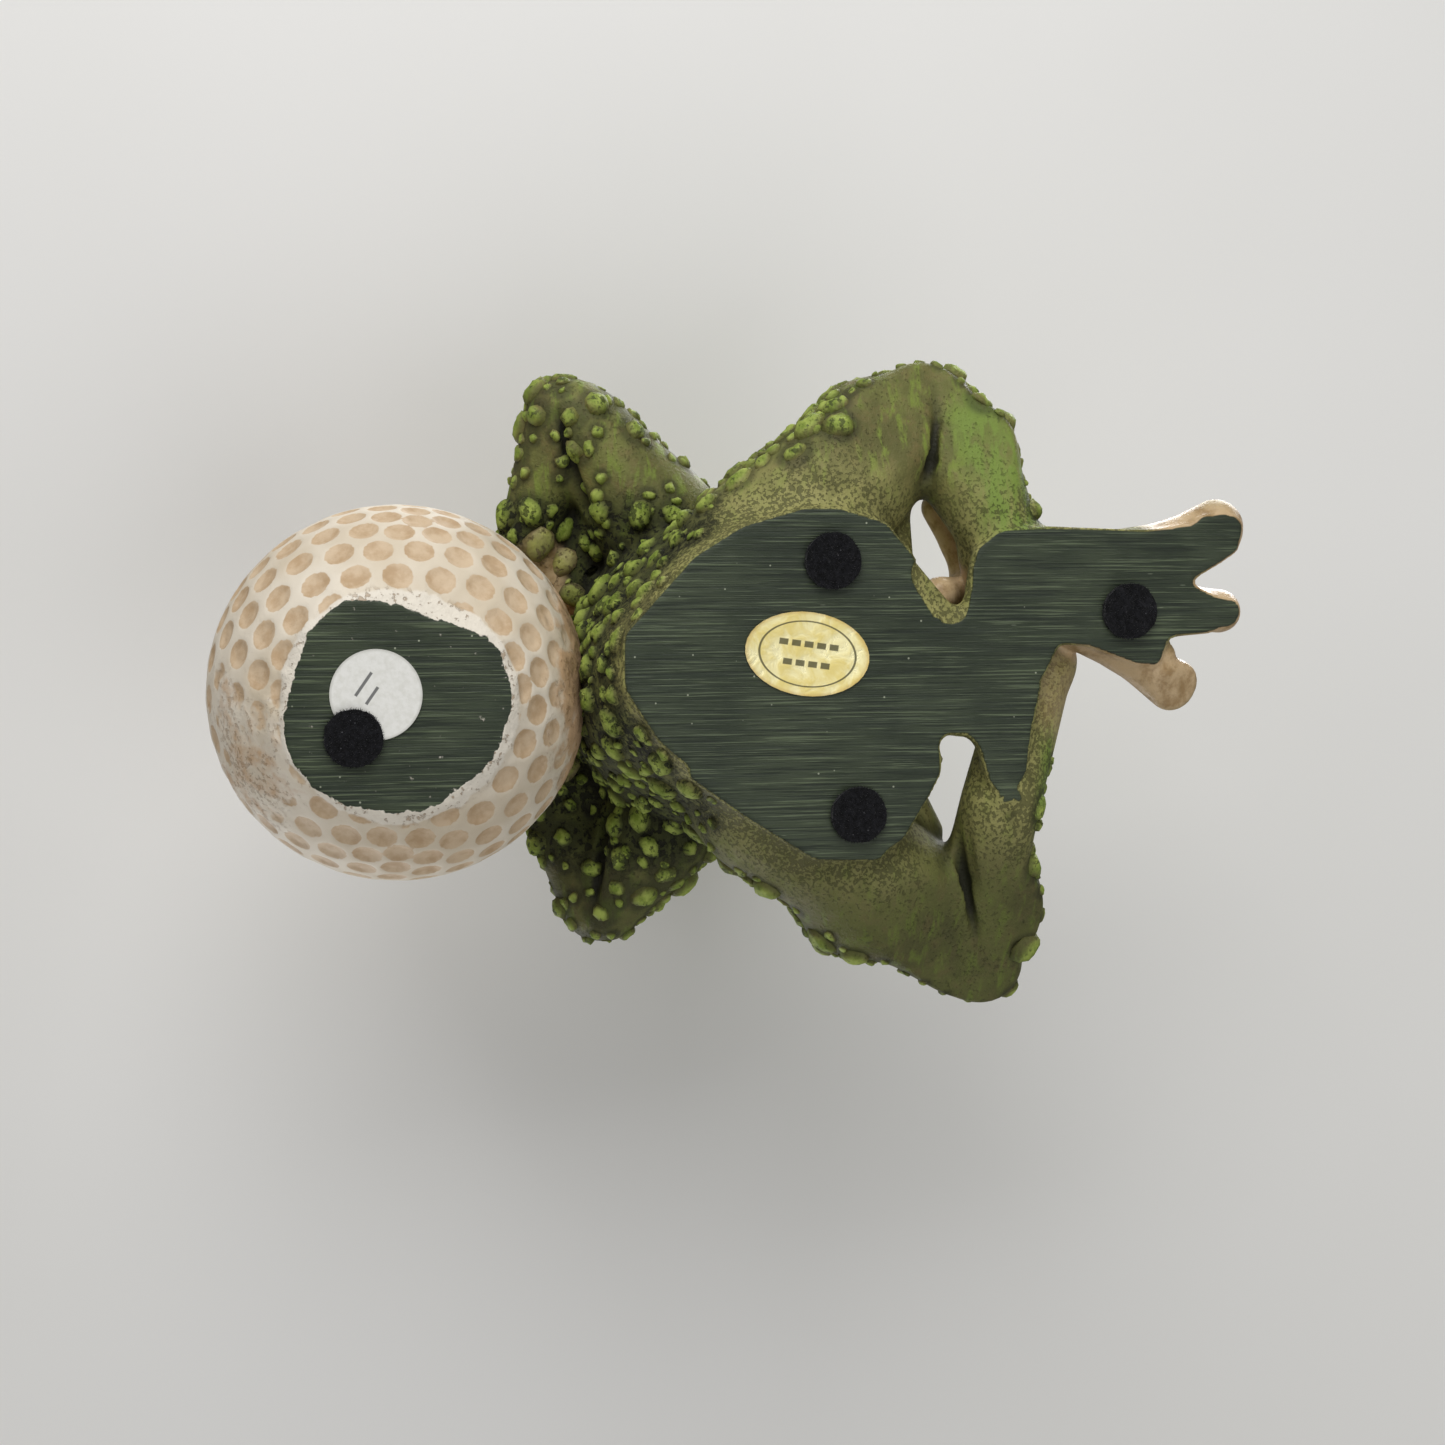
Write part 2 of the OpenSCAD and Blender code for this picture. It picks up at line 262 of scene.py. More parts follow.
def ringPoints(centre, axis, radius, count=14):
    axis = Vector(axis).normalized()
    side = axis.cross(Vector((0, 0, 1))).normalized()
    other = axis.cross(side)
    turns = [2 * math.pi * i / count for i in range(count + 1)]
    return [tuple(Vector(centre) + radius * (math.cos(t) * side + math.sin(t) * other)) for t in turns]


eyes = {side: (sum(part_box(side + "_eye"), Vector()) / 2) / mm for side in ("left", "right")}
eyeRadius = (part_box("left_eye")[1].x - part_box("left_eye")[0].x) / 2 / mm
face = {"mouth": [(-15.8, 7.5, 44.4), (-15.6, 2, 42.6), (-12.6, -4.6, 41.6), (-6.6, -9.9, 41.2), (0, -11.6, 41.0),
                  (6.6, -9.9, 41.2), (12.6, -4.6, 41.6), (15.6, 2, 42.6), (15.8, 7.5, 44.4)],
        "lipLift": 0.95, "jawDrop": 1.1, "lipRadius": 0.95, "lipEnd": 0.7, "mouthRadius": 0.5,
        "gaze": (0.42, -0.88, 0.16), "lidRadius": 0.75, "lidThickness": 0.8, "lidDepth": 2.1, "lidLift": 1.7,
        "lidRing": 0.93, "eyeRoom": 8, "drum": (22, 9.0, 45.4), "drumRadius": 2.1, "drumRim": 0.42}


def gazeOf(s):  # where the eye on side s looks, with 1 for the left
    return Vector((s * face["gaze"][0], *face["gaze"][1:])).normalized()


def sculptHead(field):
    mouth = face["mouth"]
    addClay(field, [((0, -2.5, 37.6), (10.5, 8, 5.0), 2.5),  # throat
                    ((0, -6.4, 45.2), (7.5, 6.0, 4.6), 2.5)])  # muzzle
    for s in (-1, 1):
        addClay(field, [((s * 11.6, 3, 42.4), (5.6, 7.0, 5.6), 2.0),  # cheek
                        ([(s * 5.5, -4.5, 49.2), (s * 8.6, 3.5, 50.5)], [1.6, 2.6], 2.0),  # brow
                        ((s * 2.9, -11.2, 47.2), (1.2, 1.2, 1.1), 0.7)])  # nose
    thick = [face["lipEnd"]] + [face["lipRadius"]] * (len(mouth) - 2) + [face["lipEnd"]]
    addClay(field, [([(x, y, h + face["lipLift"]) for x, y, h in mouth], thick, 0.9),
                    ([(x * 0.98, y + 0.2, h - face["jawDrop"]) for x, y, h in mouth], thick, 0.9)])
    parting = [(x * 1.03, y * 1.03 - 0.25, h) for x, y, h in mouth]
    addClay(field, [(parting, [face["mouthRadius"]] * len(mouth), 0.35)], carve=True)
    for s, side in ((-1, "right"), (1, "left")):
        addClay(field, [([(s * 2.9, -12.6, 47.6), (s * 2.7, -11.2, 47.3)], [0.5, 0.45], 0.3)], carve=True)
        eye, looking = eyes[side], gazeOf(s)
        cut, away, (x, y, z) = sphereField(eye, eyeRadius, face["eyeRoom"])
        cap = np.maximum(away - face["lidThickness"],
                         x * looking.x + y * looking.y + z * looking.z - face["lidDepth"])
        field[cut] = smoothMin(field[cut], cap, 0.8)  # the lids, all round the eye
        lid = ringPoints(eye + looking * face["lidLift"], looking, eyeRadius * face["lidRing"])
        stroke(field, lid, [face["lidRadius"]] * len(lid), 0.5)
        way = Vector((-s, -0.2, -0.1)).normalized()
        out, back, up = face["drum"]
        drum = [meet(field, p, way) for p in ringPoints(at(s * out, back, up), way, face["drumRadius"])]
        stroke(field, drum, [face["drumRim"]] * len(drum), 0.5)


# each row is (points, radii, blend) for a stroke or (centre, sizes, blend) for a lump, heights from the sole
limbs = [
    ([(-15, 3, 28), (-19, 5.5, 27)], [6.6, 6.4], 2.0),  # shoulder muscles
    ([(15, 3, 28), (19, 5.5, 27)], [6.6, 6.4], 2.0),
    ([(-29.5, 13.2, 27), (-19, 4, 27)], [5.0, 6.4], 1.6),
    ([(-19, 8, 30), (-17.4, 13.4, 31), (-12, 15, 31)], [4.6, 3.8, 4.2], 1.6),  # armpits, filled in the mould
    ([(19, 8, 30), (13, 13.5, 31)], [4.6, 4.6], 1.6),
    ((-31.6, -25.2, 12.6), (4.6, 4.6, 4.4), 1.6),  # knee caps
    ((31.8, -31.0, 12.6), (4.6, 4.6, 4.4), 1.6),
    ((-29.4, -16.6, 11.5), (5.4, 5.2, 5.6), 2.4),  # thigh muscles
    ((24.6, -16.4, 11.5), (7.0, 7.4, 6.6), 2.4),
    ([(-19.5, -19.4, 10), (-14.4, -19.8, 9)], [2.1, 1.9], 0.8),  # inner thighs
    ([(11.6, -21.4, 9), (16.8, -23.6, 10.5)], [1.6, 2.3], 0.8),
    ((33.0, -31.6, 12.8), (4.7, 4.6, 4.4), 1.6),  # outer side of the left knee
    ((-26.6, -29.2, 8.2), (4.6, 3.6, 4.4), 1.8),  # calves
    ((25.6, -33.2, 7.4), (6.6, 3.8, 4.4), 1.8)]
feet = [
    ([(-14.8, -42, 3.4), (-16.6, -49.6, 2.6), (-18.2, -55.1, 2.9)], [3.0, 2.3, 3.2], 0.9),  # right toes
    ([(-11.4, -43, 3.4), (-9.8, -50.4, 2.4), (-8.9, -55.5, 2.3)], [2.8, 1.9, 2.4], 0.9),
    ([(-8.6, -36.5, 3.8), (-4.4, -44.4, 3.2), (-0.5, -50.6, 3.2)], [2.6, 2.1, 3.0], 0.9),
    ([(-15, -31, 7), (-12, -40, 4.2)], [4.4, 3.2], 1.6),
    ([(-13.4, -44, 2.0), (-13.0, -49.4, 1.4)], [2.0, 1.5], 1.0),  # web between the right toes
    ([(-9, -41, 2.4), (-6.0, -46.6, 1.8), (-4.2, -49.2, 2.0)], [2.2, 1.4, 1.1], 1.0),
    ([(-3, -36.2, 7.6), (-11, -31, 13.4)], [4.2, 3.6], 1.2)]  # left foot, over the right shin
leftToes = {"root": (-11, -31, 13.4), "arch": 0.7, "middle": 0.55, "radii": (2.8, 1.6),
            "tips": (((-10.6, -24.4, 7.2), 2.1), ((-20.6, -26.2, 14.4), 2.0), ((-20.4, -31.6, 13.2), 2.0))}
hands = {"middle": 0.6, "arch": (0, 0.5, 0.4), "radii": [2.4, 1.3, 1.8],
         "right": ((-9, 18.6, 30), [(1, 15.6, 25), (0, 16.4, 28.6), (-2, 17.6, 31.6)]),
         "left": ((7.5, 17, 34.2), [(-1, 18, 36.8), (0.4, 17.6, 33.8), (-2.6, 19, 39.2)])}
creases = {"radii": [0.45, 0.85, 1.15, 1.3], "passes": ((0, 1.0), (1.8, 0.6)),
           "right": [(-34.2, -23.6, 5.8), (-29.8, -23.6, 4.6), (-25.6, -22.8, 3.8), (-21.2, -21.5, 2.6)],
           "left": [(35.0, -30.9, 7.4), (28.6, -29.0, 4.8), (21.8, -27.1, 3.4), (15.2, -25.4, 2.2)]}
folds = [
    ([(5.7, -23.6, -1), (6.9, -25.4, 9)], [1.25, 1.5], 0.4),  # the gap beside the left shin
    ([(-32.4, 17.6, 22.8), (-20.6, 14.4, 24)], [0.4, 1.2], 0.6),  # inside the elbows
    ([(27.6, 13.8, 22.8), (17, 11.6, 24)], [0.4, 1.2], 0.6)]
belly = {"rows": ((17.5, 10, 0.3), (24.5, 8, 0.25)), "front": -34, "droop": 0.03, "blend": 1.8}


def sculptToes(field):
    root = Vector(at(*leftToes["root"]))
    for tip, thick in leftToes["tips"]:
        tip = at(*tip)
        middle = root.lerp(Vector(tip), leftToes["middle"]) + Vector((0, 0, leftToes["arch"]))
        stroke(field, [tuple(root), tuple(middle), tip], [*leftToes["radii"], thick], 0.7)


def sculptHands(field):
    for side in ("right", "left"):
        palm = at(*hands[side][0])
        for tip in hands[side][1]:
            middle = Vector(palm).lerp(Vector(at(*tip)), hands["middle"]) + Vector(hands["arch"])
            stroke(field, [palm, tuple(middle), at(*tip)], hands["radii"], 0.5)


def sculptFolds(field):
    for lift, share in creases["passes"]:  # deep creases where a thigh lies against its shin
        for side in ("right", "left"):
            line = [(x, y, soleZ + h + lift) for x, y, h in creases[side]]
            stroke(field, line, [radius * share for radius in creases["radii"]], 0.5, carve=True)
    addClay(field, folds, carve=True)
    for h, wide, depth in belly["rows"]:
        arc = [meet(field, at(x, belly["front"], h - belly["droop"] * x * x), (0, 1, 0), -belly["front"])
               for x in range(-wide, wide + 1, 2)]
        stroke(field, arc, [depth] * len(arc), belly["blend"], carve=True)


def sculptFrog():
    parts = {name: nodeField(name) for name in castings}
    soft = {name: blurred(parts[name], soften[name]) for name in castings}
    legs = smoothMin(soft["right_leg_casting"], soft["left_leg_casting"], meld["legs"])
    arms = smoothMin(soft["right_arm_casting"], soft["left_arm_casting"], meld["arms"])
    skin = smoothMin(soft["torso_casting"], soft["head_casting"], meld["head"])
    skin = smoothMin(smoothMin(skin, legs, meld["hips"]), arms, meld["shoulders"])
    for name in dowels:
        skin = np.minimum(skin, nodeField(name) - 0.6)  # no dowel shows through
    addClay(skin, limbs)
    sculptHead(skin)
    sculptHands(skin)
    addClay(skin, feet)
    sculptToes(skin)
    sculptFolds(skin)
    h = gridAxes[2][None, None, :] - soleZ
    plan = soleOutline()[:, :, None]
    slab = np.maximum(plan + ground["slope"] * h, h - ground["slabHeight"])
    skin = smoothMin(skin, slab, meld["slab"])
    skin = smoothMax(skin, 0.5 * plan - h - ground["lift"], meld["undercut"])  # clear of the ground outside the flat
    for eye in eyes.values():
        cut, away, _ = sphereField(eye, eyeRadius, face["eyeRoom"])
        skin[cut] = np.maximum(skin[cut], -away)
    cut, away, _ = sphereField(ballCentre, ballRadius, ballRadius + 1)
    skin[cut] = np.maximum(skin[cut], -away - 0.05)
    return np.maximum(skin, -h), parts


skinField, partFields = sculptFrog()
print("frog sculpted")


def node(tree, kind, inputs=None, **settings):
    made = tree.nodes.new(kind)
    for key, value in settings.items():
        setattr(made, key, value)
    for key, value in (inputs or {}).items():
        if isinstance(value, bpy.types.NodeSocket):
            tree.links.new(value, made.inputs[key])
        else:
            made.inputs[key].default_value = value
    return made


def calc(tree, operation, a, b=0.0, clamp=False):
    return node(tree, "ShaderNodeMath", {0: a, 1: b}, operation=operation, use_clamp=clamp).outputs[0]


def times(tree, a, b):
    return calc(tree, "MULTIPLY", a, b)


def plus(tree, a, b, clamp=False):
    return calc(tree, "ADD", a, b, clamp)


def minus(tree, a, b):
    return calc(tree, "SUBTRACT", a, b)


def most(tree, a, b):
    return calc(tree, "MAXIMUM", a, b)


def swing(tree, value, amount):  # a noise of 0 to 1 made to swing about zero
    return times(tree, minus(tree, value, 0.5), amount)


def vector(tree, operation, a, b=None):  # b is a vector, or the factor of a SCALE
    inputs = {0: a} if b is None else {0: a, "Scale" if operation == "SCALE" else 1: b}
    made = node(tree, "ShaderNodeVectorMath", inputs, operation=operation)
    return made.outputs["Value" if operation in ("LENGTH", "DOT_PRODUCT") else "Vector"]


def separate(tree, value):
    return [socket for socket in node(tree, "ShaderNodeSeparateXYZ", {0: value}).outputs]


def combine(tree, x, y, z):
    return node(tree, "ShaderNodeCombineXYZ", {0: x, 1: y, 2: z}).outputs[0]


def step(tree, value, low, high, start=0.0, end=1.0):  # a soft step from start to end as value goes low to high
    return node(tree, "ShaderNodeMapRange", {"Value": value, "From Min": low, "From Max": high, "To Min": start,
                                             "To Max": end}, interpolation_type="SMOOTHSTEP").outputs[0]


def paint(code):  # a colour as written on a paint card, made linear
    values = [int(code[i:i + 2], 16) / 255 for i in (1, 3, 5)]
    return tuple(v / 12.92 if v <= 0.04045 else ((v + 0.055) / 1.055) ** 2.4 for v in values) + (1.0,)


def blendColour(tree, amount, a, b):
    a, b = (paint(colour) if isinstance(colour, str) else colour for colour in (a, b))
    return node(tree, "ShaderNodeMix", {0: amount, 6: a, 7: b}, data_type="RGBA").outputs[2]


def blendValue(tree, amount, a, b):
    return node(tree, "ShaderNodeMix", {"Factor": amount, 2: a, 3: b}).outputs[0]


def layered(tree, tone, *layers):  # each layer is (amount, colour), laid over what is under it
    for amount, colour in layers:
        tone = blendColour(tree, amount, tone, colour)
    return tone


def noise(tree, place, scale, detail=3.0, rough=0.55, distortion=0.0):
    return node(tree, "ShaderNodeTexNoise", {"Vector": place, "Scale": scale, "Detail": detail,
                                             "Roughness": rough, "Distortion": distortion}).outputs[0]


def cells(tree, place, scale):
    return node(tree, "ShaderNodeTexVoronoi", {"Vector": place, "Scale": scale}).outputs["Distance"]


def attribute(tree, name):
    return node(tree, "ShaderNodeAttribute", attribute_name=name).outputs["Fac"]


def millimetres(tree, scale=(1, 1, 1), turn=0.0, centre=(0, 0, 0)):  # Object coordinates in mm
    place = node(tree, "ShaderNodeTexCoord").outputs["Object"]
    moved = node(tree, "ShaderNodeMapping", {"Vector": place, "Location": [c * mm for c in centre],
                                             "Rotation": (0, 0, turn)}, vector_type="TEXTURE").outputs[0]
    return vector(tree, "MULTIPLY", moved, [s / mm for s in scale])


def newMaterial(name, **constants):
    material = bpy.data.materials.new(name)
    material.use_nodes = True
    tree = material.node_tree
    shader = tree.nodes["Principled BSDF"]
    for key, value in constants.items():
        shader.inputs[key.replace("_", " ")].default_value = value
    return material, tree, shader


def finish(tree, shader, height, distance, **values):  # what feeds the shader, and a bump of distance mm
    for key, value in values.items():
        tree.links.new(value, shader.inputs[key.replace("_", " ")])
    made = node(tree, "ShaderNodeBump", {"Height": height, "Distance": distance * mm, "Strength": 1.0})
    tree.links.new(made.outputs[0], shader.inputs["Normal"])


def newGroup(name, wants, gives):
    tree = bpy.data.node_groups.new(name, "ShaderNodeTree")
    for titles, side in ((wants, "INPUT"), (gives, "OUTPUT")):
        for title, kind in titles:
            tree.interface.new_socket(title, in_out=side, socket_type="NodeSocket" + kind)
    return tree, tree.nodes.new("NodeGroupInput"), tree.nodes.new("NodeGroupOutput")


def placeGroup(tree, group, inputs):
    return node(tree, "ShaderNodeGroup", inputs, node_tree=group).outputs


sanded = {"dark": "#2c3526", "light": "#3b4432", "broadLine": "#2a332a", "brightLine": "#5f6a50",
          "deepLine": "#1f271d", "fleck": "#a9ae98", "scratch": "#8f9880", "scratchTurn": 0.9,
          "fineLines": (4.6, 0.075, 5.0), "broadLines": (1.0, 0.03, 3.0), "roughness": (0.5, 0.36)}


def makeSandedFlat():  # dark green base coat, rubbed along Y on a sanding belt
    tree, given, out = newGroup("sandedFlat", [("Place", "Vector")],
                                [("Colour", "Color"), ("Roughness", "Float"), ("Height", "Float")])
    place = given.outputs["Place"]

    def lines(across, along, detail):
        return noise(tree, vector(tree, "MULTIPLY", place, (across, along, 0)), 1.0, detail, 0.6)

    fine, broad = lines(*sanded["fineLines"]), lines(*sanded["broadLines"])
    cloud = noise(tree, place, 0.09, 3.0)
    scratchPlace = node(tree, "ShaderNodeMapping", {"Vector": place, "Rotation": (0, 0, sanded["scratchTurn"]),
                                                    "Scale": (1.7, 0.16, 0)}).outputs[0]
    tone = layered(tree, blendColour(tree, step(tree, cloud, 0.35, 0.65), sanded["dark"], sanded["light"]),
                   (step(tree, broad, 0.52, 0.62, 0.0, 0.35), sanded["broadLine"]),
                   (step(tree, fine, 0.55, 0.62, 0.0, 0.75), sanded["brightLine"]),
                   (step(tree, fine, 0.46, 0.40, 0.0, 0.85), sanded["deepLine"]),
                   (step(tree, cells(tree, place, 0.42), 0.06, 0.025, 0.0, 0.8), sanded["fleck"]),
                   (step(tree, cells(tree, scratchPlace, 0.5), 0.035, 0.015, 0.0, 0.6), sanded["scratch"]))
    tree.links.new(tone, out.inputs["Colour"])
    tree.links.new(step(tree, fine, 0.3, 0.7, *sanded["roughness"]), out.inputs["Roughness"])
    tree.links.new(plus(tree, fine, times(tree, broad, 0.6)), out.inputs["Height"])
    return tree


def makeCrumbs():  # small dark pits and crumbs in cast or brushed paint
    tree, given, out = newGroup("crumbs", [("Place", "Vector"), ("Scale", "Float"), ("Amount", "Float")],
                                [("Mask", "Float"), ("Height", "Float")])
    place = given.outputs["Place"]
    grain = noise(tree, place, given.outputs["Scale"], 4.0, 0.62)
    patch = noise(tree, place, 0.16, 3.0)
    edge = minus(tree, 0.74, times(tree, given.outputs["Amount"], 0.24))
    edge = minus(tree, edge, swing(tree, patch, 0.35))
    mask = step(tree, minus(tree, grain, edge), -0.01, 0.05)
    tree.links.new(mask, out.inputs["Mask"])
    tree.links.new(minus(tree, grain, times(tree, mask, 0.5)), out.inputs["Height"])
    return tree


sandedFlat, crumbs = makeSandedFlat(), makeCrumbs()

skinPaint = {"olive": "#5b5a30", "moss": "#74773e", "earth": "#77683f", "streak": "#7b8c38", "khaki": "#97935a",
             "leftLegPaintedShade": "#33361a", "lime": "#73873a", "speckle": "#3a3a1c", "crust": "#3d4420",
             "crustCrumb": "#1f2112", "recessShade": "#1d1d10", "wart": "#72852f", "wartTop": "#a0af52",
             "wartCrumb": "#2c3216", "tan": "#c4aa84", "tanShade": "#9c8058",
             "khakiReach": 9.0, "khakiTop": (17, 5), "bump": 0.17}


def makePaintedSkin():
    material, tree, shader = newMaterial("paintedSkin", Specular_IOR_Level=0.33, IOR=1.48)
    look, place = skinPaint, millimetres(tree)
    low = noise(tree, place, 0.11, 4.0, 0.6)
    middle = noise(tree, place, 0.5, 4.0, 0.65)
    streaky = noise(tree, millimetres(tree, (0.25, 1.0, 0.6)), 0.8, 4.0, 0.6, 0.4)
    sole, cavity, crust = (attribute(tree, n) for n in ("solePlan", "cavity", "crust"))
    lime, flesh, beadTop, near = (attribute(tree, n) for n in ("limeAndHighlight", "fleshTone", "beadHeight", "wartNear"))
    sides, _, height = separate(tree, place)
    khaki = times(tree, step(tree, sole, look["khakiReach"], 0.0),
                  step(tree, height, *(soleZ + h for h in look["khakiTop"])))
    khakiAmount = node(tree, "ShaderNodeMath", {0: khaki, 1: 0.55, 2: 0.5}, operation="MULTIPLY_ADD").outputs[0]
    dark = placeGroup(tree, crumbs, {"Place": place, "Scale": 2.3, "Amount": khakiAmount})
    crusty = placeGroup(tree, crumbs, {"Place": place, "Scale": 1.25, "Amount": 0.75})
    speckled = times(tree, dark["Mask"], plus(tree, step(tree, khaki, 0, 1, 0.3, 0.65), times(tree, crust, 0.4)))
    # painted shade: near-black in recesses (cavity) and round the foot of each wart (wartNear)
    shadeInRecesses = plus(tree, times(tree, cavity, 0.95), times(tree, near, 0.55), True)
    wart = layered(tree, blendColour(tree, step(tree, middle, 0.35, 0.65), look["wart"], look["wartTop"]),
                   (times(tree, crusty["Mask"], 0.75), look["wartCrumb"]))
    tan = blendColour(tree, step(tree, middle, 0.4, 0.68), look["tan"], look["tanShade"])
    flat = placeGroup(tree, sandedFlat, {"Place": place})
    wander = swing(tree, noise(tree, place, 1.1, 3.0), 1.0)
    onFlat = times(tree, step(tree, height, soleZ + 0.12, soleZ + 0.06),
                   step(tree, plus(tree, sole, wander), 0.12, 0.02))
    tone = layered(tree, blendColour(tree, step(tree, low, 0.35, 0.65), look["olive"], look["moss"]),
                   (step(tree, middle, 0.45, 0.72, 0, 0.55), look["earth"]),
                   (step(tree, streaky, 0.5, 0.68, 0, 0.7), look["streak"]),
                   (times(tree, khaki, step(tree, middle, 0.3, 0.6, 0.45, 0.95)), look["khaki"]),
                   # painted shade: darker as x goes from 9 to 22 mm, over the left leg, which the lamps light less
                   (step(tree, sides, 9.0, 22.0, 0.0, 0.42), look["leftLegPaintedShade"]),
                   # lime paint along the listed lines, and a painted highlight on faces turned down
                   (times(tree, lime, step(tree, streaky, 0.32, 0.58, 0.25, 1.0)), look["lime"]),
                   (speckled, look["speckle"]),
                   (times(tree, crust, step(tree, middle, 0.35, 0.6, 0.5, 0.85)), look["crust"]),
                   (times(tree, crust, crusty["Mask"]), look["crustCrumb"]),
                   (shadeInRecesses, look["recessShade"]),
                   (step(tree, beadTop, 0.05, 0.75), wart),
                   (flesh, tan),
                   (onFlat, flat["Colour"]))
    rough = plus(tree, step(tree, middle, 0.3, 0.7, 0.72, 0.6), times(tree, crust, 0.2), True)
    rough = blendValue(tree, onFlat, blendValue(tree, flesh, rough, 0.34), flat["Roughness"])
    grainy = times(tree, dark["Height"], step(tree, flesh, 0.0, 1.0, 1.0, 0.25))
    grainy = minus(tree, grainy, times(tree, crust, crusty["Mask"]))
    finish(tree, shader, blendValue(tree, onFlat, grainy, flat["Height"]), look["bump"],
           Base_Color=tone, Roughness=rough)
    return material


ballPaint = {"chalk": "#dfd5c4", "chalkShade": "#cfc1aa", "dimple": "#cdb698", "dimpleShade": "#b89c7a",
             "stain": "#b98f5e", "deepStain": "#7c5a33", "ridge": "#e6dfd2", "dust": "#8f6f48",
             "roughness": 0.58, "bump": 0.14}


def makePaintedBall():
    material, tree, shader = newMaterial("paintedBall", Specular_IOR_Level=0.35, IOR=1.46)
    look, place = ballPaint, millimetres(tree)
    low, middle = noise(tree, place, 0.1, 3.0), noise(tree, place, 0.45, 4.0, 0.62)
    dimple, rim, stain = (attribute(tree, n) for n in ("dimple", "rim", "stain"))
    worn = plus(tree, stain, swing(tree, middle, 1.2))
    dust = placeGroup(tree, crumbs, {"Place": place, "Scale": 1.5, "Amount": 0.65})
    ridge = step(tree, plus(tree, rim, swing(tree, middle, 1.4)), 0.35, 0.75)
    ridge = times(tree, ridge, step(tree, stain, 0.15, 0.6, 0.75, 0.1))
    flat = placeGroup(tree, sandedFlat, {"Place": place})
    wander = swing(tree, noise(tree, place, 0.9, 3.0), 0.3)
    onFlat = step(tree, plus(tree, separate(tree, place)[2], wander), soleZ + 0.10, soleZ + 0.05)
    hollow = blendColour(tree, step(tree, middle, 0.35, 0.7), look["dimple"], look["dimpleShade"])
    tone = layered(tree, blendColour(tree, step(tree, low, 0.3, 0.7), look["chalk"], look["chalkShade"]),
                   (step(tree, dimple, 0.3, 0.62), hollow),
                   (step(tree, worn, 0.35, 0.8, 0, 0.85), look["stain"]),
                   (step(tree, worn, 0.85, 1.15, 0, 0.8), look["deepStain"]),
                   (ridge, look["ridge"]),
                   (times(tree, dust["Mask"], times(tree, rim, 0.6)), look["dust"]),
                   (onFlat, flat["Colour"]))
    lumps = plus(tree, times(tree, middle, plus(tree, rim, 0.25)), times(tree, dust["Height"], plus(tree, rim, 0.2)))
    finish(tree, shader, blendValue(tree, onFlat, lumps, flat["Height"]), look["bump"],
           Base_Color=tone, Roughness=blendValue(tree, onFlat, look["roughness"], flat["Roughness"]))
    return material


feltLook = {"black": "#070709", "tuft": "#1c1c20", "lint": "#77777b", "sheen": 0.12, "bump": 0.25}


def makeBlackFelt():
    material, tree, shader = newMaterial("blackFelt", Roughness=0.95, Sheen_Weight=feltLook["sheen"],
                                         Specular_IOR_Level=0.15)
    place = millimetres(tree)
    tuft = noise(tree, place, 2.2, 4.0, 0.7)
    tone = layered(tree, blendColour(tree, step(tree, tuft, 0.35, 0.7), feltLook["black"], feltLook["tuft"]),
                   (step(tree, cells(tree, place, 1.1), 0.10, 0.04, 0, 0.6), feltLook["lint"]))
    finish(tree, shader, tuft, feltLook["bump"], Base_Color=tone)
    return material


def printedBars(tree, place, bars):  # short plain bars in rows: (x, y, half length, half width) along x
    x, y, _ = separate(tree, place)
    total = None
    for bx, by, length, width in bars:
        dx = minus(tree, length, calc(tree, "ABSOLUTE", minus(tree, x, bx)))
        dy = minus(tree, width, calc(tree, "ABSOLUTE", minus(tree, y, by)))
        one = step(tree, calc(tree, "MINIMUM", dx, dy), -0.03, 0.05)
        total = one if total is None else most(tree, total, one)
    return total


def middleOf(name):
    low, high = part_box(name)
    return (low + high) / 2 / mm, (high - low) / mm


foil = {"length": 13.8, "width": 9.1, "turn": math.radians(90) + math.radians(8), "ring": 0.775,
        "gold": "#ecd988", "paleGoldGlint": "#fbf2bd", "edge": "#c9a75c", "ink": "#4d4a26", "bar": (0.5, 0.34),
        "rows": ((1.05, (-2.8, -1.4, 0.0, 1.4, 2.8)), (-1.05, (-2.1, -0.7, 0.7, 2.1))), "bump": 0.12}


def makeGoldFoil():
    material, tree, shader = newMaterial("goldFoil", IOR=1.5)
    place = millimetres(tree, centre=middleOf("foil_label")[0], turn=foil["turn"])
    creases = noise(tree, place, 0.45, 4.0, 0.55, 0.6)
    oval = vector(tree, "MULTIPLY", place, (2 / foil["length"], 2 / foil["width"], 0))
    away = vector(tree, "LENGTH", oval)
    ring = step(tree, calc(tree, "ABSOLUTE", minus(tree, away, foil["ring"])), 0.024, 0.010)
    bars = [(x, y, *foil["bar"]) for y, places in foil["rows"] for x in places]
    ink = most(tree, ring, printedBars(tree, place, bars))
    # painted highlight: paler gold on the crests of the crease noise that also makes the bump
    tone = layered(tree, blendColour(tree, step(tree, creases, 0.35, 0.65), foil["gold"], foil["paleGoldGlint"]),
                   (step(tree, away, 0.90, 1.0, 0, 0.6), foil["edge"]),
                   (times(tree, ink, 0.9), foil["ink"]))
    finish(tree, shader, minus(tree, creases, times(tree, ink, 0.12)), foil["bump"], Base_Color=tone,
           Metallic=step(tree, ink, 0, 1, 0.4, 0.1), Roughness=step(tree, creases, 0.3, 0.7, 0.38, 0.26))
    return material


paper = {"white": "#e8e7e2", "shade": "#dddcd5", "edge": "#a9a89f", "ink": "#4a4b4c", "turn": math.radians(35),
         "bars": [(-0.2, 1.7, 1.5, 0.17), (0.3, 0.3, 1.1, 0.17)], "rim": (4.45, 4.8), "bump": 0.03}


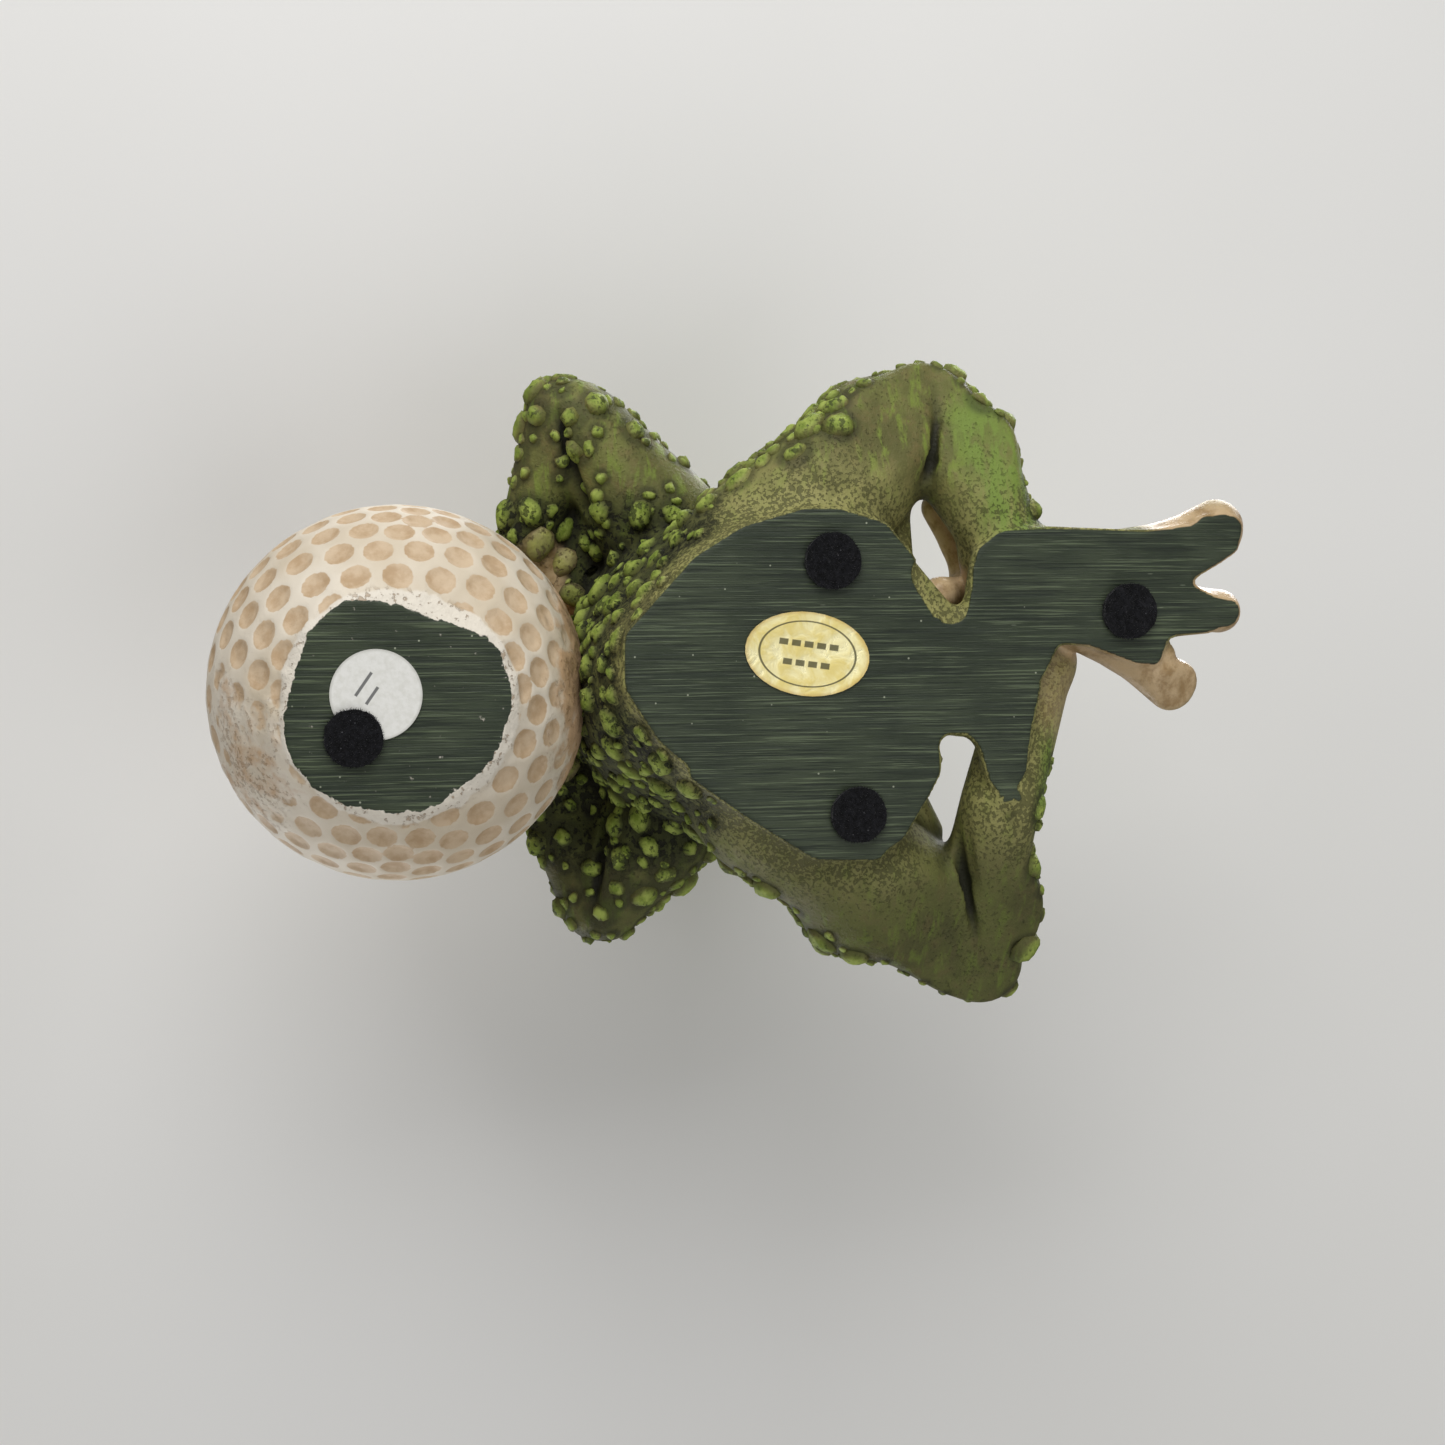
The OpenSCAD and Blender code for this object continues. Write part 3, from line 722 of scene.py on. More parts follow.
def makeWhitePaper():
    material, tree, shader = newMaterial("whitePaper", Specular_IOR_Level=0.35)
    place = millimetres(tree, centre=middleOf("inspection_label")[0], turn=paper["turn"])
    mottle = noise(tree, place, 1.4, 4.0, 0.6)
    away = vector(tree, "LENGTH", place)
    tone = layered(tree, blendColour(tree, step(tree, mottle, 0.35, 0.7), paper["white"], paper["shade"]),
                   (step(tree, away, *paper["rim"], 0, 0.5), paper["edge"]),
                   (times(tree, printedBars(tree, place, paper["bars"]), 0.85), paper["ink"]))
    finish(tree, shader, mottle, paper["bump"], Base_Color=tone, Roughness=step(tree, mottle, 0.3, 0.7, 0.5, 0.6))
    return material


eyeLook = {"inner": "#d9a425", "outer": "#7d4a0c", "fleck": "#f0cf5a", "pupil": "#060605", "ball": "#1a1a0e",
           "irisRadius": 3.2, "irisEdge": 3.05, "pupilWide": 1.9, "pupilTall": 1.0}


def makeGlossyEye():
    material, tree, shader = newMaterial("glossyEye", Roughness=0.07, Coat_Weight=1.0, Coat_Roughness=0.03, IOR=1.5)
    x, y, z = separate(tree, millimetres(tree))
    mirrored = combine(tree, calc(tree, "ABSOLUTE", x), y, z)
    out = vector(tree, "SUBTRACT", mirrored, eyes["left"][:])
    gaze = gazeOf(1)
    across = gaze.cross(Vector((0, 0, 1))).normalized()
    wide, tall, forward = (vector(tree, "DOT_PRODUCT", out, way[:]) for way in (across, across.cross(gaze), gaze))
    away = calc(tree, "SQRT", plus(tree, times(tree, wide, wide), times(tree, tall, tall)))
    flecks = noise(tree, mirrored, 1.8, 5.0, 0.7)
    slot = calc(tree, "SQRT", plus(tree, calc(tree, "POWER", calc(tree, "DIVIDE", wide, eyeLook["pupilWide"]), 2.0),
                                   calc(tree, "POWER", calc(tree, "DIVIDE", tall, eyeLook["pupilTall"]), 2.0)))
    iris = layered(tree, blendColour(tree, step(tree, away, 1.0, 3.0), eyeLook["inner"], eyeLook["outer"]),
                   (step(tree, flecks, 0.45, 0.68, 0, 0.7), eyeLook["fleck"]),
                   (step(tree, slot, 1.06, 0.94), eyeLook["pupil"]))
    front = step(tree, plus(tree, away, times(tree, step(tree, forward, 0.1, -0.1), 9.0)),
                 eyeLook["irisRadius"], eyeLook["irisEdge"])
    tree.links.new(blendColour(tree, front, eyeLook["ball"], iris), shader.inputs["Base Color"])
    return material


def makeSteelDowel():
    material, tree, shader = newMaterial("steelDowel", Metallic=1.0)
    rust = noise(tree, millimetres(tree), 0.6, 4.0, 0.6)
    drawn = noise(tree, millimetres(tree, (4, 4, 4)), 1.5, 3.0, 0.6)
    finish(tree, shader, drawn, 0.01, Roughness=step(tree, drawn, 0.3, 0.7, 0.28, 0.45),
           Base_Color=blendColour(tree, step(tree, rust, 0.5, 0.75, 0, 0.5), "#8f9092", "#6b5747"))
    return material


paints = {"skin": makePaintedSkin(), "ball": makePaintedBall(), "felt": makeBlackFelt(), "foil": makeGoldFoil(),
          "paper": makeWhitePaper(), "eye": makeGlossyEye(), "steel": makeSteelDowel()}
wears = {"foil_label": "foil", "inspection_label": "paper", "left_eye": "eye", "right_eye": "eye",
        **dict.fromkeys(dowels, "steel")}
for name, kind in wears.items():
    for slot in nodes[name].material_slots:
        slot.material = paints[kind]
print("paints mixed")


def geoTree(name, floats):
    tree = bpy.data.node_groups.new(name, "GeometryNodeTree")
    tree.interface.new_socket("Geometry", in_out="INPUT", socket_type="NodeSocketGeometry")
    for title in floats:
        tree.interface.new_socket(title, in_out="INPUT", socket_type="NodeSocketFloat")
    tree.interface.new_socket("Geometry", in_out="OUTPUT", socket_type="NodeSocketGeometry")
    return tree, tree.nodes.new("NodeGroupInput"), tree.nodes.new("NodeGroupOutput")


def endTree(tree, out, geometry, material):
    real = node(tree, "GeometryNodeRealizeInstances", {"Geometry": geometry}).outputs[0]
    done = node(tree, "GeometryNodeSetMaterial", {"Geometry": real, "Material": material})
    tree.links.new(done.outputs[0], out.inputs[0])
    return tree


def grow(source, tree, values, name):  # runs the tree on an object and gives back a plain mesh
    made = source.modifiers.new("grow", "NODES")
    made.node_group = tree
    for item in tree.interface.items_tree:
        if item.in_out == "INPUT" and item.name in values:
            made[item.identifier] = float(values[item.name])
    mesh = bpy.data.meshes.new_from_object(source.evaluated_get(bpy.context.evaluated_depsgraph_get()))
    bpy.data.objects.remove(source)
    mesh.name = name
    return mesh


def link(mesh, name, material=None):
    piece = bpy.data.objects.new(name, mesh)
    bpy.context.scene.collection.objects.link(piece)
    if material:
        mesh.materials.clear()
        mesh.materials.append(material)
    return piece


def setAttribute(mesh, name, values):
    layer = mesh.attributes.get(name) or mesh.attributes.new(name, "FLOAT", "POINT")
    layer.data.foreach_set("value", np.ascontiguousarray(values, np.float32))


def storeFloat(tree, geometry, name, value):
    return node(tree, "GeometryNodeStoreNamedAttribute", {"Geometry": geometry, "Name": name, "Value": value},
                data_type="FLOAT", domain="POINT").outputs[0]


def joined(tree, *parts):
    whole = node(tree, "GeometryNodeJoinGeometry")
    for part in parts:
        tree.links.new(part, whole.inputs[0])
    return whole.outputs[0]


def roughened(tree, place, scale, detail, amount):  # a small push in any direction
    colour = node(tree, "ShaderNodeTexNoise", {"Vector": place, "Scale": scale, "Detail": detail}).outputs["Color"]
    return vector(tree, "SCALE", vector(tree, "SUBTRACT", colour, (0.5, 0.5, 0.5)), amount * mm)


def smooth(value, low, high):
    t = np.clip((value - low) / (high - low), 0, 1)
    return t * t * (3 - 2 * t)


def nearLine(points, *line):  # distance in mm from each point to a line through places above the sole
    best = np.full(len(points), 1e9)
    line = [np.array(at(*place), float) for place in line]
    for p, q in zip(line, line[1:]):
        t = np.clip((points - p) @ (q - p) / ((q - p) @ (q - p)), 0, 1)
        best = np.minimum(best, np.linalg.norm(points - p - t[:, None] * (q - p), axis=1))
    return best


# lines that a tone or a cluster of warts follows, each with the distances where it starts and stops to fade
zones = {
    "toe": (((-17.2, -55, 2.3), (-16.2, -50, 2.5)), 3.3, 5.2),
    "flesh": [((-9, -55.2, 2), (-9.8, -50.4, 2.4)), ((-1.1, -50, 3), (-7, -40, 3.4)),
              ((-10.6, -24.6, 7.4), (-11, -30, 13)), ((-20.6, -26.4, 14.6), (-13, -30, 13.4)),
              ((-20.4, -31.4, 13.4), (-13, -31, 13.4)),
              ((1, 15.6, 25), (-9, 18.6, 30), (-14, 20, 29)), ((-2, 17.6, 31.6), (-9, 18.6, 30)),
              ((-1, 18, 36.8), (7.5, 17, 34.2), (12, 18, 31.5)), ((-2.6, 19, 39.2), (7.5, 17, 34.2))],
    "fleshFade": (3.0, 4.8),
    "shin": (((-4, -36, 6), (2, -36.8, 5)), 2.5, 5.5),
    "shinTone": 0.4,
    "limes": [(((-31, -27.6, 4), (-25, -30, 3), (-17, -31.6, 2)), 2.0, 5.0), (((6, -37, 4), (13, -35, 4)), 1.6, 4.5)],
    "cluster": (((-28.6, -9.6, 8), (-30.4, -12.4, 8.4)), 2.6, 4.6),
    "middle": -12, "cavityDepth": 0.55, "cavityBlur": 1.2, "armReach": (0.8, 2.2)}


def nearZone(points, line, low, high):
    return 1 - smooth(nearLine(points, *line), low, high)


def paintZones(mesh, points, normals):
    edge = sample(soleOutline(), points)
    # cavity: how deep in a recess a point lies; the skin paint darkens it there as painted shade
    cavity = np.clip(-sample(blurred(skinField.copy(), zones["cavityBlur"]), points) / zones["cavityDepth"], 0, 1)
    x, y, z = points.T
    h = z - soleZ
    flesh = nearZone(points, *zones["toe"])
    for line in zones["flesh"]:
        flesh = np.maximum(flesh, nearZone(points, line, *zones["fleshFade"]))
    flesh = np.maximum(flesh, zones["shinTone"] * nearZone(points, *zones["shin"]))
    lime = np.max([nearZone(points, *zone) for zone in zones["limes"]], axis=0)
    # painted highlight: lime on faces turned down, toward the lamps below, from 6 to 16 mm up
    lime = np.maximum(lime, 0.5 * smooth(-normals[:, 2], -0.1, -0.9) * smooth(h, 6, 16))
    arm = np.minimum(sample(partFields["left_arm_casting"], points), sample(partFields["right_arm_casting"], points))
    arm = 1 - smooth(np.abs(arm), *zones["armReach"])
    back = smooth(y, -1, 5) * (1 - smooth(np.abs(x), 19, 24))
    reach = np.hypot(x, y - zones["middle"])
    outward = (normals[:, 0] * x + normals[:, 1] * (y - zones["middle"])) / np.maximum(reach, 1e-6)
    under = smooth(-normals[:, 2], 0.35, 0.75)
    flank = smooth(outward, 0.3, 0.7) * smooth(reach, 20, 27)
    upper = smooth(normals[:, 2], 0.1, 0.6) * smooth(h, 8, 20)
    warty = np.maximum(0.85 * flank, 0.7 * upper) * (1 - 0.97 * under)
    warty = np.maximum(warty, 0.8 * arm * (1 - 0.55 * under))
    warty = np.maximum(warty, back)
    warty = np.maximum(warty, nearZone(points, *zones["cluster"]))  # under the right thigh
    belly = smooth(-y, 2, 8) * (1 - smooth(np.abs(x), 13, 18)) * smooth(h, 8, 14)
    warty = warty * (1 - 0.95 * belly)
    onHead = 1 - smooth(sample(partFields["head_casting"], points), 0.5, 2.5)
    warty = warty * (1 - 0.7 * onHead * smooth(-y, -4, 4))  # a smoother face
    warty = warty * smooth(edge, 0.8 - back, 2.0 - 1.4 * back) * (1 - smooth(flesh, 0.15, 0.5))
    warty = warty * (1 - smooth(-y, 36, 39))
    warty = np.clip(warty * (cavity < 0.7), 0, 1)
    values = {"solePlan": edge, "cavity": cavity, "fleshTone": np.clip(flesh, 0, 1), "limeAndHighlight": np.clip(lime, 0, 1),
              "crust": np.clip(back * smooth(edge, 0.1, 1.4), 0, 1), "wartChance": warty,
              "smallChance": warty * (1 - 0.6 * back)}
    for name, value in values.items():
        setAttribute(mesh, name, value)


warts = {"Small spacing": 1.8, "Small smallest": 0.45, "Small largest": 0.95,
         "Big spacing": 3.6, "Big smallest": 0.95, "Big largest": 1.8}
wartKinds = {"Small": {"chance": "smallChance", "gain": 1.0, "seed": 4, "sizeSeed": 3},
             "Big": {"chance": "wartChance", "gain": 0.9, "seed": 11, "sizeSeed": 8}}
bead = {"sides": 10, "rings": 6, "flare": 0.55, "squat": 0.72, "least": (0.85, 0.85, 0.6),
        "most": (1.35, 1.0, 1.05), "seed": 21, "roughScale": 900.0, "roughness": 0.9, "halo": (1.55, 1.0)}


def makeWartTree():
    tree, given, out = geoTree("frogWarts", list(warts))
    skin = given.outputs["Geometry"]
    ball = node(tree, "GeometryNodeMeshUVSphere", {"Segments": bead["sides"], "Rings": bead["rings"], "Radius": 1.0})
    spot = node(tree, "GeometryNodeInputPosition").outputs[0]
    x, y, z = separate(tree, spot)
    flare = plus(tree, 1.0, times(tree, most(tree, times(tree, z, -1.0), 0.0), bead["flare"]))
    shaped = combine(tree, times(tree, x, flare), times(tree, y, flare), times(tree, z, bead["squat"]))
    wart = node(tree, "GeometryNodeSetPosition", {"Geometry": ball.outputs["Mesh"], "Position": shaped}).outputs[0]
    wart = storeFloat(tree, wart, "beadHeight", z)
    clouds, nearness = [], None
    for kind, how in wartKinds.items():
        chance = node(tree, "GeometryNodeInputNamedAttribute", {"Name": how["chance"]}, data_type="FLOAT").outputs[0]
        spread = node(tree, "GeometryNodeDistributePointsOnFaces",
                      {"Mesh": skin, "Distance Min": times(tree, given.outputs[kind + " spacing"], mm),
                       "Density Max": 2.0e6, "Density Factor": times(tree, chance, how["gain"]),
                       "Seed": how["seed"]}, distribute_method="POISSON").outputs
        sizes = node(tree, "FunctionNodeRandomValue", {2: given.outputs[kind + " smallest"],
                                                       3: given.outputs[kind + " largest"],
                                                       "Seed": how["sizeSeed"]}, data_type="FLOAT")
        stretch = node(tree, "FunctionNodeRandomValue", {0: bead["least"], 1: bead["most"], "Seed": bead["seed"]},
                       data_type="FLOAT_VECTOR").outputs[0]
        scale = vector(tree, "SCALE", stretch, times(tree, sizes.outputs[1], mm))
        clouds.append(node(tree, "GeometryNodeInstanceOnPoints", {"Points": spread["Points"], "Instance": wart,
                                                                  "Rotation": spread["Rotation"],
                                                                  "Scale": scale}).outputs[0])
        # painted shade: skin close to a wart is marked in wartNear and darkened in the skin paint
        gap = node(tree, "GeometryNodeProximity", {0: spread["Points"]}, target_element="POINTS").outputs["Distance"]
        reach = times(tree, given.outputs[kind + " largest"], mm)
        close = step(tree, calc(tree, "DIVIDE", gap, reach), *bead["halo"])
        nearness = close if nearness is None else most(tree, nearness, close)
    real = node(tree, "GeometryNodeRealizeInstances", {"Geometry": joined(tree, *clouds)}).outputs[0]
    push = roughened(tree, spot, bead["roughScale"], 1.0, bead["roughness"])
    real = node(tree, "GeometryNodeSetPosition", {"Geometry": real, "Offset": push}).outputs[0]
    marked = storeFloat(tree, skin, "wartNear", nearness)
    return endTree(tree, out, joined(tree, real, marked), paints["skin"])


def islands(labels, faces, count, rounds=6):  # small islands of a label join what is round them
    owners = {}
    for index, face in enumerate(faces):
        for i in range(len(face)):
            key = (min(face[i], face[i - 1]), max(face[i], face[i - 1]))
            owners.setdefault(key, []).append(index)
    pairs = np.array([o for o in owners.values() if len(o) == 2])
    for _ in range(rounds):
        votes = np.zeros((len(labels), count), np.int16)
        np.add.at(votes, (pairs[:, 0], labels[pairs[:, 1]]), 1)
        np.add.at(votes, (pairs[:, 1], labels[pairs[:, 0]]), 1)
        votes[np.arange(len(labels)), labels] += 1
        labels = votes.argmax(1)
    beside = [[] for _ in labels]
    for a, b in pairs:
        beside[a].append(b)
        beside[b].append(a)
    seen = np.zeros(len(labels), bool)
    groups = []
    for start in range(len(labels)):
        if seen[start]:
            continue
        seen[start] = True
        group = [start]
        for face in group:
            for other in beside[face]:
                if not seen[other] and labels[other] == labels[start]:
                    seen[other] = True
                    group.append(other)
        groups.append(group)
    groups.sort(key=len)
    kept = {labels[group[0]]: group for group in groups}  # the largest of each label
    for group in groups:
        label = labels[group[0]]
        if kept[label] is not group:
            around = [labels[o] for f in group for o in beside[f] if labels[o] != label]
            if around:
                labels[group] = np.bincount(around).argmax()
    return labels


def makeFrog():
    grid = openvdb.FloatGrid(sculpt["band"])
    grid.copyFromArray(np.clip(skinField, -2, 2))
    points, tris, quads = grid.convertToPolygons(isovalue=0.0, adaptivity=0.0)
    points = points * sculpt["voxel"] + gridLow
    faces = quads.tolist() + tris.tolist()
    mesh = bpy.data.meshes.new("frogSkin")
    mesh.from_pydata((points * mm).tolist(), [], faces)
    mesh.update()
    paintZones(mesh, points, readFloats(mesh.vertex_normals, "vector", 3))
    setAttribute(mesh, "beadHeight", np.zeros(len(points)))
    centres = np.array([points[f].mean(0) for f in faces])
    labels = np.argmin([sample(partFields[n], centres) for n in castings], axis=0)
    labels = islands(labels, faces, len(castings))
    print("frog skin", len(faces), "faces")
    return grow(link(mesh, "frogSkin"), makeWartTree(), warts, "frogWhole"), labels, len(points)


def readFloats(items, name, width=1):
    values = np.zeros(len(items) * width, np.float32)
    items.foreach_get(name, values)
    return values.reshape(-1, width) if width > 1 else values


def capLoops(faces):  # closes each open edge loop of a piece with a fan, its hub in the middle
    ahead = {}
    for face in faces:
        for i in range(len(face)):
            a, b = face[i - 1], face[i]
            if b in ahead.get(a, ()):
                continue
            if a in ahead.get(b, ()):
                ahead[b].remove(a)
            else:
                ahead.setdefault(a, []).append(b)
    loops = []
    for start in sorted(ahead):
        while ahead[start]:
            loop, here = [], start
            while ahead.get(here):
                loop.append(here)
                here = ahead[here].pop()
            loops.append(loop)
    return loops


def splitFrog(grown, skinLabels, skinPoints):  # six closed castings, each with its own warts
    coords = readFloats(grown.vertices, "co", 3)
    coords[:, 2] = np.maximum(coords[:, 2], soleZ * mm)  # what hangs below the sole is ground away
    normals = readFloats(grown.vertex_normals, "vector", 3)
    layers = {n: readFloats(grown.attributes[n].data, "value") for n in
              ("solePlan", "cavity", "crust", "limeAndHighlight", "fleshTone", "beadHeight", "wartNear")}
    sizes = np.zeros(len(grown.polygons), np.int32)
    grown.polygons.foreach_get("loop_total", sizes)
    corners = np.zeros(len(grown.loops), np.int32)
    grown.loops.foreach_get("vertex_index", corners)
    starts = np.concatenate([[0], np.cumsum(sizes)[:-1]])
    first = corners[starts]
    skinFirst = not np.any(layers["beadHeight"][:skinPoints])
    beadPoints = bead["sides"] * (bead["rings"] - 1) + 2
    base = skinPoints if skinFirst else 0
    isSkin = first < skinPoints if skinFirst else first >= len(coords) - skinPoints
    beadCount = (len(coords) - skinPoints) // beadPoints
    beadMiddles = coords[base:base + beadCount * beadPoints].reshape(beadCount, beadPoints, 3).mean(1) / mm
    beadLabels = np.argmin([sample(partFields[n], beadMiddles) for n in castings], axis=0)
    labels = np.zeros(len(sizes), int)
    labels[isSkin] = skinLabels
    labels[~isSkin] = beadLabels[(first[~isSkin] - base) // beadPoints]
    pieces = {}
    for index, name in enumerate(castings):
        mine = np.nonzero(labels == index)[0]
        faces = [corners[starts[i]:starts[i] + sizes[i]].tolist() for i in mine]
        used = np.unique(np.concatenate(faces))
        place = dict(zip(used.tolist(), range(len(used))))
        faces = [[place[v] for v in face] for face in faces]
        points, facing = coords[used].tolist(), normals[used].tolist()
        values = {n: v[used].tolist() for n, v in layers.items()}
        for loop in capLoops(faces):
            hub = len(points)
            points.append(np.mean([points[v] for v in loop], axis=0).tolist())
            facing.append([0.0, 0.0, 1.0])
            for n in values:
                values[n].append(float(np.mean([values[n][v] for v in loop])))
            faces += [[loop[i], loop[i - 1], hub] for i in range(len(loop))]
        mesh = bpy.data.meshes.new(name.replace("_casting", "_skin"))
        mesh.from_pydata(points, [], faces)
        mesh.update()
        for n, v in values.items():
            setAttribute(mesh, n, v)
        mesh.polygons.foreach_set("use_smooth", [True] * len(faces))
        mesh.normals_split_custom_set_from_vertices(facing)
        pieces[name] = link(mesh, mesh.name, paints["skin"])
    return pieces


grown, skinLabels, skinPoints = makeFrog()
frogPieces = splitFrog(grown, skinLabels, skinPoints)
for name, piece in frogPieces.items():
    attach(piece, "root")
    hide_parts(name)
print("frog split into", len(frogPieces), "castings")


golfBall = {"Radius": ballRadius, "Dimple radius": 1.72, "Dimple depth": 0.34, "Rim height": 1.25,
            "Crumbs": 0.4, "Centre x": ballCentre.x, "Centre y": ballCentre.y, "Centre z": ballCentre.z,
            "Sole": soleZ}
ballShape = {"dimpleRows": 6, "turn": (0.35, 0.5), "patchWay": (0.24, 0.80, -0.55), "patchDepth": 0.8,
             "patchStain": 0.55, "rimReach": (4.2, 0.3), "rimWave": 0.9, "lobeSharpness": 9.0,
             "lobes": [(144, 0.55), (202, -0.6), (247, 0.32), (322, -0.3), (62, 0.7), (100, -0.1)]}
# a lobe of the rim is (turn, extra radius)


def dimpleCentres():  # the points of an icosahedron whose edges are cut into dimpleRows
    rows = ballShape["dimpleRows"]
    work = bmesh.new()
    bmesh.ops.create_icosphere(work, subdivisions=1, radius=1.0)
    spots = {}
    for face in work.faces:
        a, b, c = (v.co for v in face.verts)
        for i in range(rows + 1):
            for j in range(rows + 1 - i):
                spot = ((a * i + b * j + c * (rows - i - j)) / rows).normalized()
                spots[tuple(round(v, 4) for v in spot)] = spot
    work.free()
    turn = Matrix.Rotation(ballShape["turn"][0], 3, "Z") @ Matrix.Rotation(ballShape["turn"][1], 3, "X")
    return [turn @ spot for spot in spots.values()]


def makeBallTree():
    tree, given, out = geoTree("golfBall", list(golfBall))
    size = {key: times(tree, given.outputs[key], mm) for key in golfBall}
    sphere = node(tree, "GeometryNodeMeshIcoSphere", {"Radius": 1.0, "Subdivisions": 7})
    unit = vector(tree, "NORMALIZE", node(tree, "GeometryNodeInputPosition").outputs[0])
    _, y, z = separate(tree, unit)
    away = node(tree, "GeometryNodeProximity", {0: given.outputs["Geometry"]}, target_element="POINTS")
    away = times(tree, away.outputs["Distance"], given.outputs["Radius"])
    share = calc(tree, "DIVIDE", away, given.outputs["Dimple radius"])
    height = plus(tree, times(tree, z, size["Radius"]), minus(tree, size["Centre z"], size["Sole"]))
    rough = noise(tree, unit, 3.2, 3.0, 0.6)
    rim = step(tree, plus(tree, calc(tree, "DIVIDE", height, size["Rim height"]), swing(tree, rough, 1.1)), 1.0, 0.35)
    ragged = swing(tree, rough, 0.5)
    joint = step(tree, plus(tree, times(tree, y, -1.0), ragged), 0.70, 0.93)  # where the frog was glued on
    patch = vector(tree, "DOT_PRODUCT", unit, ballShape["patchWay"])
    patch = step(tree, plus(tree, patch, ragged), 0.88, 1.02)
    rumpled = most(tree, rim, most(tree, joint, times(tree, patch, ballShape["patchDepth"])))
    whole = minus(tree, 1.0, rumpled)
    dent = times(tree, times(tree, step(tree, share, 1.08, 0.45), size["Dimple depth"]), whole)
    level = vector(tree, "NORMALIZE", vector(tree, "MULTIPLY", unit, (1, 1, 0)))
    lobes = swing(tree, noise(tree, unit, 5.0, 3.0, 0.6), ballShape["rimWave"] * mm)
    for turn, extra in ballShape["lobes"]:
        way = (math.cos(math.radians(turn)), math.sin(math.radians(turn)), 0)
        near = most(tree, vector(tree, "DOT_PRODUCT", level, way), 0.0)
        near = calc(tree, "POWER", near, ballShape["lobeSharpness"])
        lobes = plus(tree, lobes, times(tree, near, extra * mm))
    lobes = times(tree, lobes, step(tree, height, *(h * mm for h in ballShape["rimReach"])))
    grit = minus(tree, noise(tree, unit, 17.0, 3.0, 0.65), 0.5)
    grit = times(tree, times(tree, grit, size["Crumbs"]), plus(tree, rumpled, 0.12))
    reach = plus(tree, minus(tree, size["Radius"], dent), plus(tree, lobes, grit))
    centre = combine(tree, size["Centre x"], size["Centre y"], size["Centre z"])
    x, y, z = separate(tree, vector(tree, "ADD", vector(tree, "SCALE", unit, reach), centre))
    spot = combine(tree, x, y, most(tree, z, size["Sole"]))  # ground flat
    ball = sphere.outputs["Mesh"]
    stain = most(tree, joint, times(tree, patch, ballShape["patchStain"]))
    for name, value in (("dimple", times(tree, step(tree, share, 1.06, 0.84), whole)), ("rim", rumpled),
                        ("stain", stain)):
        ball = storeFloat(tree, ball, name, value)
    ball = node(tree, "GeometryNodeSetPosition", {"Geometry": ball, "Position": spot}).outputs[0]
    ball = node(tree, "GeometryNodeSetShadeSmooth", {"Geometry": ball, "Shade Smooth": True}).outputs[0]
    return endTree(tree, out, ball, paints["ball"])


def makeBall():
    dots = bpy.data.meshes.new("dimpleCentres")
    dots.from_pydata([tuple(spot) for spot in dimpleCentres()], [], [])
    mesh = grow(link(dots, "dimpleCentres"), makeBallTree(), golfBall, "golfBall")
    ball = link(mesh, "golf_ball_shell")
    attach(ball, "root")
    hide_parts("golf_ball_casting")


makeBall()
print("golf ball made")

felt = {"Radius": 2.95, "Thickness": 0.8, "Fibre spacing": 0.16, "Fibre length": 0.34, "Fibre width": 0.045}
feltShape = {"sides": 56, "rows": 3, "rings": 8, "wobbleScale": 700.0, "wobble": 0.5, "lean": 0.9,
             "lengths": (0.45, 1.1), "firstSeed": 10, "seedStep": 5, "clearance": 0.05}


def makeFeltTree(seed):
    tree, given, out = geoTree("feltPad", list(felt) + ["Centre x", "Centre y", "Centre z"])
    size = {key: times(tree, given.outputs[key], mm) for key in given.outputs.keys() if key not in ("Geometry", "")}
    disc = node(tree, "GeometryNodeMeshCylinder",
                {"Vertices": feltShape["sides"], "Side Segments": feltShape["rows"],
                 "Fill Segments": feltShape["rings"], "Radius": size["Radius"], "Depth": size["Thickness"]})
    place = node(tree, "GeometryNodeInputPosition").outputs[0]
    wobble = roughened(tree, place, feltShape["wobbleScale"], 2.0, feltShape["wobble"])
    pad = node(tree, "GeometryNodeSetPosition", {"Geometry": disc.outputs["Mesh"], "Offset": wobble}).outputs[0]
    spread = node(tree, "GeometryNodeDistributePointsOnFaces",
                  {"Mesh": pad, "Distance Min": size["Fibre spacing"], "Density Max": 4.0e7, "Seed": seed},
                  distribute_method="POISSON").outputs
    fibre = node(tree, "GeometryNodeMeshCone", {"Vertices": 3, "Radius Top": 0.0, "Radius Bottom": size["Fibre width"],
                                                "Depth": size["Fibre length"]}).outputs["Mesh"]
    lean = node(tree, "FunctionNodeRandomValue", {0: (-feltShape["lean"], -feltShape["lean"], 0),
                                                  1: (feltShape["lean"], feltShape["lean"], 6.28),
                                                  "Seed": seed + 1}, data_type="FLOAT_VECTOR").outputs[0]
    turned = node(tree, "FunctionNodeRotateRotation", {"Rotation": spread["Rotation"], "Rotate By": lean},
                  rotation_space="LOCAL").outputs[0]
    length = node(tree, "FunctionNodeRandomValue", {2: feltShape["lengths"][0], 3: feltShape["lengths"][1],
                                                    "Seed": seed + 2}, data_type="FLOAT").outputs[1]
    hairs = node(tree, "GeometryNodeInstanceOnPoints", {"Points": spread["Points"], "Instance": fibre,
                                                        "Rotation": turned, "Scale": length}).outputs[0]
    hairs = node(tree, "GeometryNodeRealizeInstances", {"Geometry": hairs}).outputs[0]
    centre = combine(tree, size["Centre x"], size["Centre y"], size["Centre z"])
    moved = node(tree, "GeometryNodeSetPosition", {"Geometry": joined(tree, hairs, pad), "Offset": centre})
    return endTree(tree, out, moved.outputs[0], paints["felt"])


